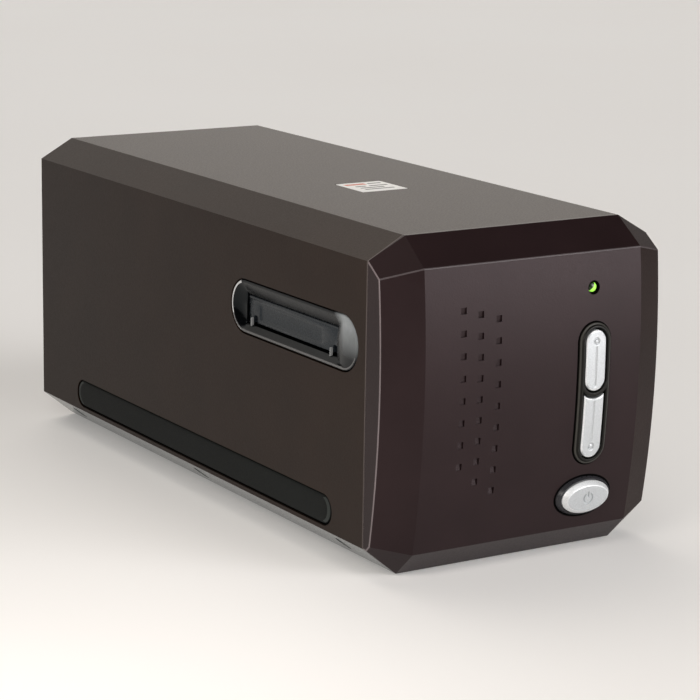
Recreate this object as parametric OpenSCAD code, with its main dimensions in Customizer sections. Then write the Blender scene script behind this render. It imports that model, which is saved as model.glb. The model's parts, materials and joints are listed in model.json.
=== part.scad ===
// Desktop scanner for film negatives and mounted slides. Millimetres.
// +Z is up, the front faces -Y, and +X is the right-hand side seen from the front.
// The origin is at the bottom centre of the overall box.

/* [Body] */
// Overall width
body_w = 118; // [118:1:120]
// Overall height, with the feet
body_h = 119.4; // [118.6:0.2:120.6]
// Overall length, from the rear edge to the front of the upper scan button
body_l = 272; // [270:1:276]
// Wall thickness of the mouldings
wall = 2.5; // [2.3:0.1:2.6]
// Height of the feet below the base tray
foot_h = 0.8; // [0.6:0.1:1.1]
// Width of the long chamfers at the top
top_cut_w = 14; // [13:0.1:15]
// Height of the long chamfers at the top
top_cut_h = 7.8; // [7.2:0.1:8.2]
// Width of the long chamfers at the bottom
low_cut_w = 13.1; // [12.6:0.1:13.6]
// Height of the long chamfers at the bottom
low_cut_h = 10.6; // [10.2:0.1:10.8]

/* [Front bezel] */
// Length of the front bezel, up to the front of the buttons
bezel_l = 17.4; // [17:0.1:18]
// How far the upper scan button stands out of the face
button_proud = 1.5; // [1.2:0.1:1.8]
// Radius of the face's gentle curve, seen from the side
face_r = 355; // [345:5:375]
// Height at which the face stands furthest forward
face_z = 71.7; // [70:0.1:74]
// Half of the face's width between the side chamfers
face_half_w = 45.5; // [45:0.1:46]
// How far the side chamfers run back
side_cut_l = 7.1; // [6.8:0.1:7.4]
// Top edge of the face
face_top_z = 110.1; // [109.6:0.1:110.6]
// Bottom edge of the face
face_low_z = 9.9; // [9.5:0.1:10.3]
// Straight part of the bezel in front of the seam
bezel_step = 1.1; // [0.9:0.1:1.3]
// Width of a recessed dot
dot_w = 2.3; // [2:0.1:2.6]

/* [Front controls] */
// Sideways place of the scan buttons
scan_x = 25.2; // [25:0.1:26]
// Width of a scan button
scan_w = 8.4; // [8.2:0.1:8.8]
// Top of the upper scan button
upper_top_z = 82.8; // [82.3:0.1:83.3]
// Bottom of the upper scan button
upper_low_z = 61; // [60.6:0.1:61.4]
// Bottom of the lower scan button
lower_low_z = 36.6; // [36.1:0.1:37]
// Width of the raised frame round the scan buttons, at its foot
frame_w = 13.4; // [13:0.1:13.8]
// Sideways place of the power button
power_x = 24.8; // [24.4:0.1:25.6]
// Height of the power button's centre
power_z = 22; // [21.8:0.1:22.3]
// Half width of the power button
power_a = 10.2; // [9.8:0.05:10.3]
// Half height of the power button
power_b = 6.1; // [5.9:0.05:6.2]
// Travel of every button
button_travel = 1; // [0.6:0.1:1]
// Sideways place of the status light
led_x = 24.8; // [24.2:0.1:25.4]
// Height of the status light
led_z = 97.5; // [97:0.1:98]

/* [Film slot] */
// Length of the slot bezels
slot_l = 87.6; // [86.6:0.1:88]
// Height of the slot bezels
slot_h = 20.3; // [20:0.1:20.8]
// Middle of the slot bezels along the body
slot_y = -69.8; // [-70:0.1:-69]
// Middle of the slot bezels above the table
slot_z = 80.75; // [80.5:0.05:81]
// Length of the door opening
door_l = 62.6; // [62:0.1:63.2]
// Height of the door opening
door_h = 11; // [10.9:0.1:11.2]
// Middle of the door opening along the body
door_y = -65.4; // [-65.7:0.1:-65.1]
// Underside of the door opening
door_low_z = 74; // [73.9:0.1:74.1]

/* [Side strips and label] */
// Length of the rubber side strips
strip_l = 200.8; // [198:0.1:202]
// Height of the rubber side strips
strip_h = 11; // [10.6:0.1:11.2]
// Middle of the side strips along the body
strip_y = 2.5; // [2:0.1:3.5]
// Middle of the side strips above the table
strip_z = 18.7; // [18.5:0.1:18.9]
// Depth of the side strips
strip_t = 0.8; // [0.6:0.1:1]
// Width of the label on the top
label_w = 20; // [18:0.1:21]
// Length of the label on the top
label_l = 20; // [18:0.1:22]
// Middle of the label along the body
label_y = -28; // [-30:0.1:-26]

/* [Scan drive] */
// Travel of the scanning sled
scan_travel = 25; // [22:1:25]
// Diameter of the guide rods
rod_d = 6; // [5.6:0.1:6]
// Sideways place of the guide rods
rod_x = 30; // [30:0.5:30.5]
// Height of the guide rods and of the lead screw
rod_z = 40; // [39.5:0.5:40.5]
// Sideways place of the lead screw
screw_x = 44; // [43.8:0.1:44]
// Diameter of the lead screw
screw_d = 5; // [4.6:0.1:5]
// Height of the optical axis
axis_z = 46; // [45.5:0.5:46.5]
// Diameter of the lens barrel
lens_d = 22; // [20:0.5:23]

/* [Hidden] */

$fn = 64;
eps = 0.01;
half_w = body_w / 2;
front_y = -body_l / 2;
rear_y = body_l / 2;
seam_y = front_y + bezel_l;
face_y0 = front_y + button_proud;
low_side_z = foot_h + low_cut_h;
fine = 720;

// Fits and gaps
gap = 0.15;
running_fit = 0.05;
seat_fit = 0.02;

// Colours of the mouldings and the metal parts
brown = "#3b302e";
face_brown = "#372b2d";
black = "#1d1f20";
rubber_black = "#1b2220";
silver = "#c4c8ca";
steel = "#9aa0a4";
zinc = "#8d9194";
board_green = "#1f5a38";
brass = "#b8964e";

// Screws
screw_shank_r = 1.25;
screw_bore_r = 1.3;
screw_head_r = 2.6;
screw_head_t = 1.8;
boss_r = 4.2;
boss_x = half_w - 6.5;
base_screw_ys = [-96, 8, 114];
// Height at which the shell's screw bosses meet the base tray's
boss_seam_z = 13;
screw_seat_z = 10.8;

// Inner frame
plate_t = 2.2;
plate_x = 49;
frame_front_y = -104;
frame_rear_y = 101;
frame_low_z = 12;
end_plate_t = 2.5;
foot_flange_l = 8;
foot_flange_t = 2;
foot_x = 46;

// Boards
pcb_t = 1.6;
main_board_z = 8;
main_board_w = 80;
main_board_front_y = -70;
main_board_rear_y = 131;
front_board_y = seam_y - 1.7;
switch_tip_y = front_board_y - 2.8;
stem_end_y = switch_tip_y - button_travel - 0.1;

// Slot and doors, with depths counted inwards from the side faces
dish_depth = 2.2;
door_depth = 2.8;
door_t = 1.4;
barrel_r = 1.3;
door_pin_r = 0.7;
door_axis_depth = door_depth + barrel_r;
door_axis_z = door_low_z + door_h - 0.3 - barrel_r;
tunnel_depth = 7.6;
pocket_l = 4.2;
door_rear_y = door_y + door_l / 2;
door_front_y = door_y - door_l / 2;
// Small stops on the lower rim, each beside a notch in the door
stop_w = 1.2;
stop_h = 3.6;
stop_ys = [door_front_y + 3.5, door_rear_y - 4.3];
notch_w = 2.2;

// Film guide
guide_floor_z = 71.5;
guide_floor_t = 1.9;
guide_roof_z = 84.8;
guide_roof_t = 1.8;
guide_half_x = half_w - tunnel_depth - 0.2;
guide_wall_t = 2;
window_w = 40;
window_l = 28;
window_y = -65;

// Sled
sled_half_w = 38;
sled_low_z = 26;
sled_top_z = 64;
sled_front_y = -90;
sled_rear_y = 50;
sled_wall = 2.5;
scan_line_y = -77;
arm_half_w = 34;
arm_low_z = 88.2;
arm_top_z = 104;
arm_wall = 2;
upright_y = -27;
upright_t = 5;
bushing_r = 5.5;
bushing_l = 10;
nut_y = -12;
nut_r = 3.6;
nut_l = 10;

// Gear train behind the rear plate of the inner frame
gear_module = 1;
gear_teeth = 22;
pinion_teeth = 11;
gear_y = 103.2;
gear_t = 4.6;
screw_gear_r = gear_module * gear_teeth / 2;
pinion_r = gear_module * pinion_teeth / 2;
gear_distance = screw_gear_r + pinion_r + 0.15;
motor_x = screw_x - 4;
motor_z = rod_z + sqrt(pow(gear_distance, 2) - pow(screw_x - motor_x, 2));
motor_r = 13.5;
motor_l = 17;
bracket_y = 110;
bracket_t = 2;
mesh_angle = atan2(motor_z - rod_z, motor_x - screw_x);

// ---- Shared shapes ----

// Distances of a chamfer's two ends from the corner, after moving every face inwards by t
function cut_side(w, h, t) = h + t * (norm([w, h]) - h) / w;
function cut_flat(w, h, t) = w + t * (norm([w, h]) - w) / h;

// Right half of the body's cross-section, moved inwards by t
function half_profile(t) = [
    [half_w - cut_flat(low_cut_w, low_cut_h, t), foot_h + t],
    [half_w - t, foot_h + cut_side(low_cut_w, low_cut_h, t)],
    [half_w - t, body_h - cut_side(top_cut_w, top_cut_h, t)],
    [half_w - cut_flat(top_cut_w, top_cut_h, t), body_h - t]
];
function profile(t) = concat(
    half_profile(t),
    [for (i = [3 : -1 : 0]) [-half_profile(t)[i][0], half_profile(t)[i][1]]]
);

// The face's curve: its place along Y at height z
function face_y(z) = face_y0 + face_r - sqrt(pow(face_r, 2) - pow(z - face_z, 2));

// Extrudes a drawing of X and Z from rear_end towards the front
module along_y(rear_end, length) {
    translate([0, rear_end, 0])
        rotate([90, 0, 0])
            linear_extrude(length) children();
}

// Extrudes a drawing of Y and Z inwards from the right side face
module from_side(depth, thickness) {
    translate([half_w - depth - thickness, 0, 0])
        rotate([90, 0, 90])
            linear_extrude(thickness) children();
}

module body_prism(t, front_end, rear_end) {
    along_y(rear_end, rear_end - front_end) polygon(profile(t));
}

// A rod along Y
module rod_y(r, x, z, front_end, rear_end) {
    translate([x, rear_end, z])
        rotate([90, 0, 0]) cylinder(r = r, h = rear_end - front_end);
}

module block(x0, x1, y0, y1, z0, z1) {
    translate([x0, y0, z0]) cube([x1 - x0, y1 - y0, z1 - z0]);
}

// A stadium outline, centred
module stadium(w, h) {
    r = min(w, h) / 2;
    square([w > h ? w - 2 * r : w, w > h ? h : h - 2 * r], center = true);
    for (s = [-1, 1])
        translate(w > h ? [s * (w / 2 - r), 0] : [0, s * (h / 2 - r)]) circle(r);
}

module both_sides() {
    for (s = [0, 1]) mirror([s, 0, 0]) children();
}

// All that lies behind a plane through point p with outward direction n
module behind_plane(p, n, t) {
    size = 600;
    unit = n / norm(n);
    translate(p - unit * t)
        rotate([0, acos(unit[2]), atan2(unit[1], unit[0])])
            translate([-size / 2, -size / 2, -size]) cube(size);
}

// ---- Casing ----

module face_round(out) {
    translate([0, face_y0 + face_r, face_z])
        rotate([0, 90, 0])
            cylinder(r = face_r + out, h = 3 * body_w, center = true, $fn = fine);
}

// The layer of the face between two offsets: out stands proud, deep lies inside
module face_layer(out, deep) {
    difference() {
        face_round(out);
        face_round(-deep);
    }
}

// The round that makes the right-hand side chamfer
module side_round(t) {
    a = atan(side_cut_l / (half_w - face_half_w));
    r = face_r / cos(a);
    translate([face_half_w - face_r * tan(a), face_y0 + face_r, face_z])
        rotate([0, 90, a])
            cylinder(r = r - t, h = 6 * body_w, center = true, $fn = fine);
}

// The bezel's solid form, with every face moved inwards by t
module bezel_form(t, rear_end) {
    step_y = seam_y - bezel_step;
    top_seam = [0, step_y, body_h];
    top_edge = [0, face_y(face_top_z), face_top_z];
    low_seam = [0, step_y, foot_h];
    low_edge = [0, face_y(face_low_z), face_low_z];
    top_corner = [face_half_w, face_y(face_top_z), face_top_z];
    top_side = [half_w, seam_y, body_h - top_cut_h];
    top_flat = [half_w - top_cut_w, step_y, body_h];
    low_corner = [face_half_w, face_y(face_low_z), face_low_z];
    low_side = [half_w, step_y - bezel_step, low_side_z];
    low_flat = [half_w - low_cut_w, step_y, foot_h];
    intersection() {
        body_prism(t, front_y - 5, rear_end);
        face_round(-t);
        side_round(t);
        mirror([1, 0, 0]) side_round(t);
        behind_plane(top_seam, cross([1, 0, 0], top_seam - top_edge), t);
        behind_plane(low_seam, cross([1, 0, 0], low_edge - low_seam), t);
        behind_plane(top_corner, cross(top_side - top_corner, top_flat - top_corner), t);
        behind_plane(low_corner, cross(low_flat - low_corner, low_side - low_corner), t);
        mirror([1, 0, 0])
            behind_plane(top_corner, cross(top_side - top_corner, top_flat - top_corner), t);
        mirror([1, 0, 0])
            behind_plane(low_corner, cross(low_flat - low_corner, low_side - low_corner), t);
    }
}

// Columns of recessed dots: place across, top dot, number of dots and pitch
dot_columns = [[-30, 94.6, 8, 7.8], [-22.9, 92.7, 9, 7.37], [-15.5, 90.6, 9, 7.63]];
dot_depth = 0.6;

module face_dots() {
    for (c = dot_columns)
        for (i = [0 : c[2] - 1])
            translate([c[0], face_y(c[1] - i * c[3]), c[1] - i * c[3]])
                rotate([asin((c[1] - i * c[3] - face_z) / face_r), 0, 0])
                    cube([dot_w, 2 * dot_depth, dot_w], center = true);
}

front_board_x0 = 13;
front_board_x1 = 39;
front_board_z0 = 11;
front_board_z1 = 104;
front_boss_xz = [[16, 92], [36, 92], [16, 31.5], [36.5, 31.5]];
pipe_tube_r = 3.6;
led_hole_r = 2.5;

module bezel_fittings() {
    intersection() {
        bezel_form(wall / 2, seam_y);
        union() {
            for (p = front_boss_xz) rod_y(2.8, p[0], p[1], front_y, front_board_y);
            rod_y(pipe_tube_r, led_x, led_z, front_y, face_y(led_z) + 6);
        }
    }
}

// Lip that reaches back inside the shell
module bezel_spigot() {
    inset = wall + gap;
    lip_t = 1.4;
    lip_l = 3;
    intersection() {
        bezel_form(wall / 2, seam_y + lip_l);
        difference() {
            body_prism(wall - 0.3, seam_y - lip_l, seam_y);
            body_prism(inset + lip_t, seam_y - lip_l - 1, seam_y + 1);
        }
    }
    difference() {
        body_prism(inset, seam_y - lip_l / 2, seam_y + lip_l);
        body_prism(inset + lip_t, seam_y - lip_l, seam_y + lip_l + 1);
    }
}

module front_bezel() color(face_brown) {
    difference() {
        union() {
            difference() {
                bezel_form(0, seam_y);
                bezel_form(wall, seam_y + 1);
            }
            bezel_spigot();
            bezel_fittings();
        }
        face_dots();
        along_y(seam_y - 4, 30)
            translate([scan_x, frame_mid_z]) stadium(frame_w - 1.6, frame_h - 1.6);
        along_y(seam_y - 1, 30)
            translate([power_x, power_z]) polygon(oval(collar_a - 0.9, collar_b - 0.9));
        rod_y(led_hole_r, led_x, led_z, front_y - 1, seam_y);
        for (p = front_boss_xz)
            rod_y(screw_bore_r, p[0], p[1], front_board_y - 7, seam_y + 1);
    }
}

vent_ys = [24 : 7 : 87];
panel_screw_xz = [[boss_x, 100], [boss_x, 30]];
panel_front_y = rear_y - 4.5;
panel_t = 2.5;

module shell_bosses() {
    boss_top_z = 24;
    both_sides() {
        for (y = base_screw_ys)
            translate([boss_x, y, boss_seam_z])
                cylinder(r = boss_r, h = boss_top_z - boss_seam_z);
        for (p = panel_screw_xz) rod_y(boss_r, p[0], p[1], panel_front_y - 10, panel_front_y);
    }
}

module outer_shell() color(brown) {
    difference() {
        union() {
            difference() {
                body_prism(0, seam_y, rear_y);
                body_prism(wall, seam_y - 1, rear_y + 1);
            }
            intersection() {
                body_prism(wall / 2, seam_y, rear_y);
                shell_bosses();
            }
        }
        block(-body_w, body_w, seam_y - 1, rear_y + 1, -1, low_side_z);
        both_sides() {
            from_side(-1, wall + 2)
                translate([slot_y, slot_z]) stadium(slot_l + 0.2, slot_h + 0.2);
            from_side(-1, strip_t + 1)
                translate([strip_y, strip_z]) stadium(strip_l + 0.6, strip_h + 0.6);
            for (y = base_screw_ys)
                translate([boss_x, y, boss_seam_z - 1]) cylinder(r = screw_bore_r, h = 10.5);
            for (p = panel_screw_xz)
                rod_y(screw_bore_r, p[0], p[1], panel_front_y - 9, rear_y);
        }
        block(-label_w / 2 - 0.1, label_w / 2 + 0.1, label_y - label_l / 2 - 0.1,
            label_y + label_l / 2 + 0.1, body_h - label_t, body_h + 1);
    }
}

label_t = 0.1;

module top_label() color("white") {
    block(-label_w / 2, label_w / 2, label_y - label_l / 2, label_y + label_l / 2,
        body_h - label_t, body_h);
}

foot_r = 7;
foot_recess = 1;
foot_places = [[34, -98], [34, 112]];

frame_post_ys = [frame_front_y - 3, frame_rear_y + 4];

module frame_posts()
    both_sides()
        for (y = frame_post_ys)
            translate([foot_x, y, foot_h]) cylinder(r = 3.6, h = frame_low_z - foot_h);

module tray_bosses(top_z)
    both_sides()
        for (y = base_screw_ys) translate([boss_x, y, foot_h]) cylinder(r = boss_r, h = top_z - foot_h);

module base_tray() color(brown) {
    difference() {
        union() {
            difference() {
                body_prism(0, seam_y, rear_y);
                body_prism(wall, seam_y - 1, rear_y + 1);
                block(-body_w, body_w, seam_y - 1, rear_y + 1, low_side_z, body_h + 1);
            }
            intersection() {
                body_prism(wall / 2, seam_y, rear_y);
                union() {
                    tray_bosses(low_side_z);
                    frame_posts();
                    both_sides()
                        for (p = board_screw_xy)
                            translate([p[0], p[1], foot_h])
                                cylinder(r = 3, h = main_board_z - foot_h);
                }
            }
            intersection() {
                body_prism(wall + gap, seam_y, rear_y);
                tray_bosses(boss_seam_z);
            }
        }
        both_sides() {
            for (y = base_screw_ys) {
                translate([boss_x, y, 0]) cylinder(r = screw_head_r + 0.4, h = screw_seat_z);
                translate([boss_x, y, 0]) cylinder(r = screw_bore_r, h = boss_seam_z + 1);
            }
            for (y = frame_post_ys)
                translate([foot_x, y, 7]) cylinder(r = screw_bore_r, h = 8);
            for (p = board_screw_xy)
                translate([p[0], p[1], foot_h + 1]) cylinder(r = screw_bore_r, h = 8);
            for (p = foot_places)
                translate([p[0], p[1], foot_h - 1]) cylinder(r = foot_r + 0.1, h = foot_recess + 1);
        }
        for (y = vent_ys) block(-22, 22, y, y + 2.2, 0, foot_h + wall + 1);
    }
}

module rubber_feet() color(rubber_black)
    both_sides()
        for (p = foot_places)
            translate([p[0], p[1], 0]) cylinder(r = foot_r, h = foot_h + foot_recess);

usb_x = -22;
usb_z = main_board_z + pcb_t + 5.6;
jack_x = 6;
jack_r = 5.5;
jack_z = main_board_z + pcb_t + 6;

module rear_panel() color(brown) {
    difference() {
        body_prism(wall + gap, panel_front_y, panel_front_y + panel_t);
        block(usb_x - 6.3, usb_x + 6.3, panel_front_y - 1, rear_y, usb_z - 5.7, usb_z + 5.7);
        rod_y(jack_r + 0.2, jack_x, jack_z, panel_front_y - 1, rear_y);
        for (i = [0 : 6]) block(-24, 24, panel_front_y - 1, rear_y, 78 + 4 * i, 80 + 4 * i);
        block(34.5, 41.5, panel_front_y - 1, rear_y, 27, 30);
        both_sides()
            for (p = panel_screw_xz)
                rod_y(screw_bore_r + 0.2, p[0], p[1], panel_front_y - 1, rear_y);
    }
}

module side_strip() color(rubber_black)
    from_side(0, strip_t) translate([strip_y, strip_z]) stadium(strip_l, strip_h);

module right_side_strip() side_strip();
module left_side_strip() mirror([1, 0, 0]) side_strip();

// ---- Film slot ----

// The shallow dish that leads from the stadium rim down to the door opening
module slot_dish() {
    rim = 0.8;
    hull() {
        from_side(-0.02, 0.02)
            translate([slot_y, slot_z])
                stadium(slot_l - 2 * rim, slot_h - 2 * rim, $fn = 32);
        from_side(dish_depth, 0.02)
            translate([door_y, door_low_z + door_h / 2]) square([door_l, door_h], center = true);
    }
}

module slot_bezel_body() {
    flange_t = 1.6;
    difference() {
        union() {
            from_side(0, wall + eps) translate([slot_y, slot_z]) stadium(slot_l, slot_h);
            from_side(wall + seat_fit, flange_t)
                translate([slot_y, slot_z]) stadium(slot_l + 3.6, slot_h + 3.6);
            from_side(wall + flange_t, tunnel_depth - wall - flange_t)
                translate([door_y, slot_z - 1]) square([door_l + 16, slot_h - 3], center = true);
        }
        slot_dish();
        from_side(-1, tunnel_depth + 2)
            translate([door_y, door_low_z + door_h / 2]) square([door_l, door_h], center = true);
        along_y(door_rear_y, door_l)
            translate([half_w - door_axis_depth, door_axis_z]) circle(barrel_r + 0.35);
        along_y(door_rear_y, door_l)
            translate([half_w - tunnel_depth - 1, door_axis_z - barrel_r])
                square([tunnel_depth + 1 - door_axis_depth, 2 * barrel_r + 0.5]);
        block(half_w - 6.4, half_w - door_axis_depth + barrel_r + 0.1, door_rear_y - eps,
            door_rear_y + pocket_l, door_axis_z - 1.9, door_axis_z + 1.9);
        rod_y(door_pin_r + seat_fit, half_w - door_axis_depth, door_axis_z,
            door_front_y - 4, door_rear_y + pocket_l + 3);
    }
}

module slot_bezel(inward) {
    slot_bezel_body();
    // Stops on the side that the door doesn't swing to
    stop_depth = inward ? dish_depth - 0.9 : door_depth + door_t + 0.25;
    for (y = stop_ys)
        from_side(stop_depth, 1.1) translate([y, door_low_z - 0.5]) square([stop_w, stop_h + 0.5]);
}

module right_slot_bezel() color(black) slot_bezel(false);
module left_slot_bezel() color(black) mirror([1, 0, 0]) slot_bezel(true);

module dust_door() {
    side_gap = 0.5;
    low_gap = 0.55;
    panel_low_z = door_low_z + low_gap;
    color(black) difference() {
        union() {
            from_side(door_depth, door_t)
                translate([door_front_y + side_gap, panel_low_z])
                    square([door_l - 2 * side_gap, door_axis_z - panel_low_z]);
            rod_y(barrel_r, half_w - door_axis_depth, door_axis_z,
                door_front_y + side_gap, door_rear_y - side_gap);
        }
        rod_y(door_pin_r + running_fit, half_w - door_axis_depth, door_axis_z,
            door_front_y - 1, door_rear_y + 1);
        // Shallow panel, lowered in the outer face
        from_side(door_depth - 1, 1.25)
            translate([door_front_y + 9, panel_low_z + 1.4])
                square([door_l - 18, door_h - 4.4]);
        // Notches beside the stops, for the ribs of the film holder
        for (y = stop_ys)
            from_side(door_depth - 1, door_t + 2)
                translate([y - notch_w, panel_low_z - 1]) square([notch_w, stop_h]);
    }
}

module right_dust_door() dust_door();
module left_dust_door() mirror([1, 0, 0]) dust_door();

module door_pin() color(steel)
    rod_y(door_pin_r, half_w - door_axis_depth, door_axis_z,
        door_front_y - 3.5, door_rear_y + pocket_l + 2.5);

module right_door_pin() door_pin();
module left_door_pin() mirror([1, 0, 0]) door_pin();

// Close-wound torsion spring round the door pin, with one leg on the door's barrel
module door_spring() {
    wire_r = 0.18;
    coil_r = 1;
    coils = 8;
    pitch = 1.9 * wire_r;
    leg_r = barrel_r + wire_r + 0.02;
    first_y = door_rear_y + 0.4;
    color(steel) {
        for (i = [0 : coils - 1])
            translate([half_w - door_axis_depth, first_y + i * pitch, door_axis_z])
                rotate([90, 0, 0])
                    rotate_extrude($fn = 40) translate([coil_r, 0]) circle(wire_r, $fn = 16);
        translate([half_w - door_axis_depth - leg_r, first_y, door_axis_z])
            rotate([0, 90, 0]) cylinder(r = wire_r, h = leg_r - coil_r, $fn = 16);
        rod_y(wire_r, half_w - door_axis_depth - leg_r, door_axis_z,
            door_rear_y - 5, first_y + wire_r);
    }
}

module right_door_spring() door_spring();
module left_door_spring() mirror([1, 0, 0]) door_spring();

// ---- Front controls ----

lip_w = (frame_w - scan_w) / 2;
frame_crown_z = upper_top_z + lip_w;
frame_bottom_z = lower_low_z - lip_w;
frame_h = frame_crown_z - frame_bottom_z;
frame_mid_z = (frame_crown_z + frame_bottom_z) / 2;
button_gap = 0.7;
// Centre of the round end that the two scan buttons share
notch_z = upper_low_z + scan_w / 2;
notch_r = scan_w / 2 + 2.8;
frame_proud = 1.4;
frame_foot_proud = 0.7;
// How much narrower the frame's crown is than its foot, all round
frame_step = 0.8;
upper_h = upper_top_z - upper_low_z;

// Points of an oval
function oval(a, b) = [for (i = [0 : 63]) [a * cos(i * 360 / 64), b * sin(i * 360 / 64)]];

module upper_outline(grow) {
    translate([scan_x, upper_low_z + upper_h / 2])
        stadium(scan_w + 2 * grow, upper_h + 2 * grow);
}

// The lower button's top is hollowed to follow the upper one
module lower_outline(grow) {
    low_round_z = lower_low_z + scan_w / 2;
    w = scan_w + 2 * grow;
    difference() {
        union() {
            translate([scan_x, low_round_z]) circle(w / 2);
            translate([scan_x - w / 2, low_round_z]) square([w, notch_z - low_round_z]);
        }
        translate([scan_x, notch_z]) circle(notch_r - grow);
    }
}

// A ring round both buttons, between two offsets of the face
module frame_ring(out, deep, narrower) {
    intersection() {
        face_layer(out, deep);
        along_y(seam_y - 2, 30) difference() {
            translate([scan_x, frame_mid_z])
                stadium(frame_w - 2 * narrower, frame_h - 2 * narrower);
            upper_outline(button_gap);
            lower_outline(button_gap);
        }
    }
}

module button_frame() color(black) {
    frame_ring(frame_foot_proud, 0, 0);
    frame_ring(frame_proud, 0, frame_step);
    frame_ring(eps, wall + 1, 0.9);
}

button_deep = 5.8;
flange_t = 1.2;

// A scan button: cap, retaining flange and stem. Its dimple is at dimple_z
module scan_button(dimple_z, groove_z0, groove_z1, flange_z0, flange_z1, stem_z) {
    color(silver) {
        difference() {
            intersection() {
                face_layer(button_proud, button_deep);
                along_y(seam_y, 30) children();
            }
            intersection() {
                face_layer(button_proud + 1, -button_proud + 0.3);
                union() {
                    along_y(seam_y, 30) translate([scan_x, dimple_z]) difference() {
                        circle(1.1);
                        circle(0.6);
                    }
                    along_y(seam_y, 30)
                        translate([scan_x - 0.2, groove_z0]) square([0.4, groove_z1 - groove_z0]);
                }
            }
        }
        intersection() {
            face_layer(-button_deep + flange_t, button_deep);
            along_y(seam_y, 30)
                translate([scan_x - 6.1, flange_z0]) square([12.2, flange_z1 - flange_z0]);
        }
        rod_y(1.5, scan_x, stem_z, face_y(stem_z) + button_deep - flange_t / 2, stem_end_y);
    }
}

module upper_scan_button()
    scan_button(upper_top_z - 4, upper_low_z + 3, upper_top_z - 6, upper_low_z + 0.6,
        upper_top_z + 1, (upper_top_z + upper_low_z) / 2) upper_outline(0);

module lower_scan_button()
    scan_button(lower_low_z + 4, lower_low_z + 6, notch_z - notch_r - 1.5, lower_low_z - 1.5,
        notch_z - notch_r + 0.4, lower_low_z + 11) lower_outline(0);

collar_a = 11.6;
collar_b = 7.2;
collar_proud = 1.9;
power_proud = 3.7;
power_gap = 0.3;
power_deep = 4.3;
// Bevel round the power button's front: width, height, and how far its cone is drawn on
power_bevel_w = 1.5;
power_bevel_h = 1.6;
power_cone_l = 9;

module power_button_collar() color(black)
    difference() {
        union() {
            intersection() {
                face_layer(collar_proud, 0);
                along_y(seam_y, 30) translate([power_x, power_z]) polygon(oval(collar_a, collar_b));
            }
            intersection() {
                face_layer(eps, wall + 0.5);
                along_y(seam_y, 30)
                    translate([power_x, power_z]) polygon(oval(collar_a - 1, collar_b - 1));
            }
        }
        along_y(seam_y, 30)
            translate([power_x, power_z]) polygon(oval(power_a + power_gap, power_b + power_gap));
    }

// Standard power mark: a ring open at the top, and a bar
module power_mark() {
    difference() {
        circle(2);
        circle(1.45);
        translate([-0.75, 0.6]) square([1.5, 2]);
    }
    translate([-0.28, 0.5]) square([0.56, 2]);
}

// The cone that bevels the power button, square to the face
module power_cone() {
    front_a = power_a - power_bevel_w;
    front_b = power_b - power_bevel_w;
    widening = power_cone_l * power_bevel_w / power_bevel_h;
    translate([power_x, face_y(power_z), power_z])
        rotate([90 - asin((power_z - face_z) / face_r), 0, 0]) hull() {
            translate([0, 0, power_proud]) linear_extrude(0.1) polygon(oval(front_a, front_b));
            translate([0, 0, power_proud - power_cone_l])
                linear_extrude(0.1) polygon(oval(front_a + widening, front_b + widening));
        }
}

module power_button() color(silver) {
    difference() {
        intersection() {
            face_layer(power_proud, power_deep);
            along_y(seam_y, 30) translate([power_x, power_z]) polygon(oval(power_a, power_b));
            power_cone();
        }
        intersection() {
            face_layer(power_proud + 1, -power_proud + 0.25);
            along_y(seam_y, 30) translate([power_x, power_z]) power_mark();
        }
    }
    intersection() {
        face_layer(-power_deep + 0.7, power_deep);
        along_y(seam_y, 30) translate([power_x, power_z]) square([24, 12], center = true);
        bezel_form(wall + 0.6, seam_y);
    }
    rod_y(1.5, power_x, power_z, face_y(power_z) + power_deep - 0.4, stem_end_y);
}

module led_light_pipe() color("#9bd63a") {
    pipe_r = 1.9;
    dome_r = 2.6;
    tip_y = face_y(led_z) + 0.9;
    dome_h = dome_r - sqrt(pow(dome_r, 2) - pow(pipe_r, 2));
    rod_y(pipe_r, led_x, led_z, tip_y + dome_h, tip_y + 7.5);
    rod_y(led_hole_r - seat_fit, led_x, led_z, tip_y + 2.5, tip_y + 4.5);
    intersection() {
        rod_y(pipe_r, led_x, led_z, tip_y - 1, tip_y + dome_h + eps);
        translate([led_x, tip_y + dome_r, led_z]) sphere(dome_r);
    }
}

module front_board() color(board_green)
    difference() {
        block(front_board_x0, front_board_x1, front_board_y, front_board_y + pcb_t,
            front_board_z0, front_board_z1);
        for (p = front_boss_xz)
            rod_y(screw_bore_r + 0.1, p[0], p[1], front_board_y - 1, front_board_y + pcb_t + 1);
    }

module tact_switches() color(steel)
    for (p = [[scan_x, (upper_top_z + upper_low_z) / 2], [scan_x, lower_low_z + 11],
            [power_x, power_z]]) {
        block(p[0] - 3, p[0] + 3, front_board_y - 1.8, front_board_y, p[1] - 3, p[1] + 3);
        rod_y(1.6, p[0], p[1], switch_tip_y, front_board_y - 1.8 + eps);
    }

module status_led() color("#c8f0a0") {
    block(led_x - 1.5, led_x + 1.5, front_board_y - 1.2, front_board_y, led_z - 1.5, led_z + 1.5);
    rod_y(1.2, led_x, led_z, front_board_y - 2.6, front_board_y - 1.2 + eps);
}

// ---- Inner frame ----

module end_plate_foot(y0, y1) {
    block(-plate_x - plate_t, plate_x + plate_t, y0, y1, frame_low_z,
        frame_low_z + foot_flange_t);
}

module foot_hole(y)
    both_sides() translate([foot_x, y, frame_low_z - 1]) cylinder(r = screw_bore_r + 0.2, h = 4);

module end_plate(front_end, top_z) {
    difference() {
        block(-plate_x - plate_t, plate_x + plate_t, front_end, front_end + end_plate_t,
            frame_low_z, top_z);
        both_sides() rod_y(rod_d / 2 + seat_fit, rod_x, rod_z, front_end - 1, frame_rear_y + 1);
        rod_y(4, screw_x, rod_z, front_end - 1, front_end + end_plate_t + 1);
    }
}

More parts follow.
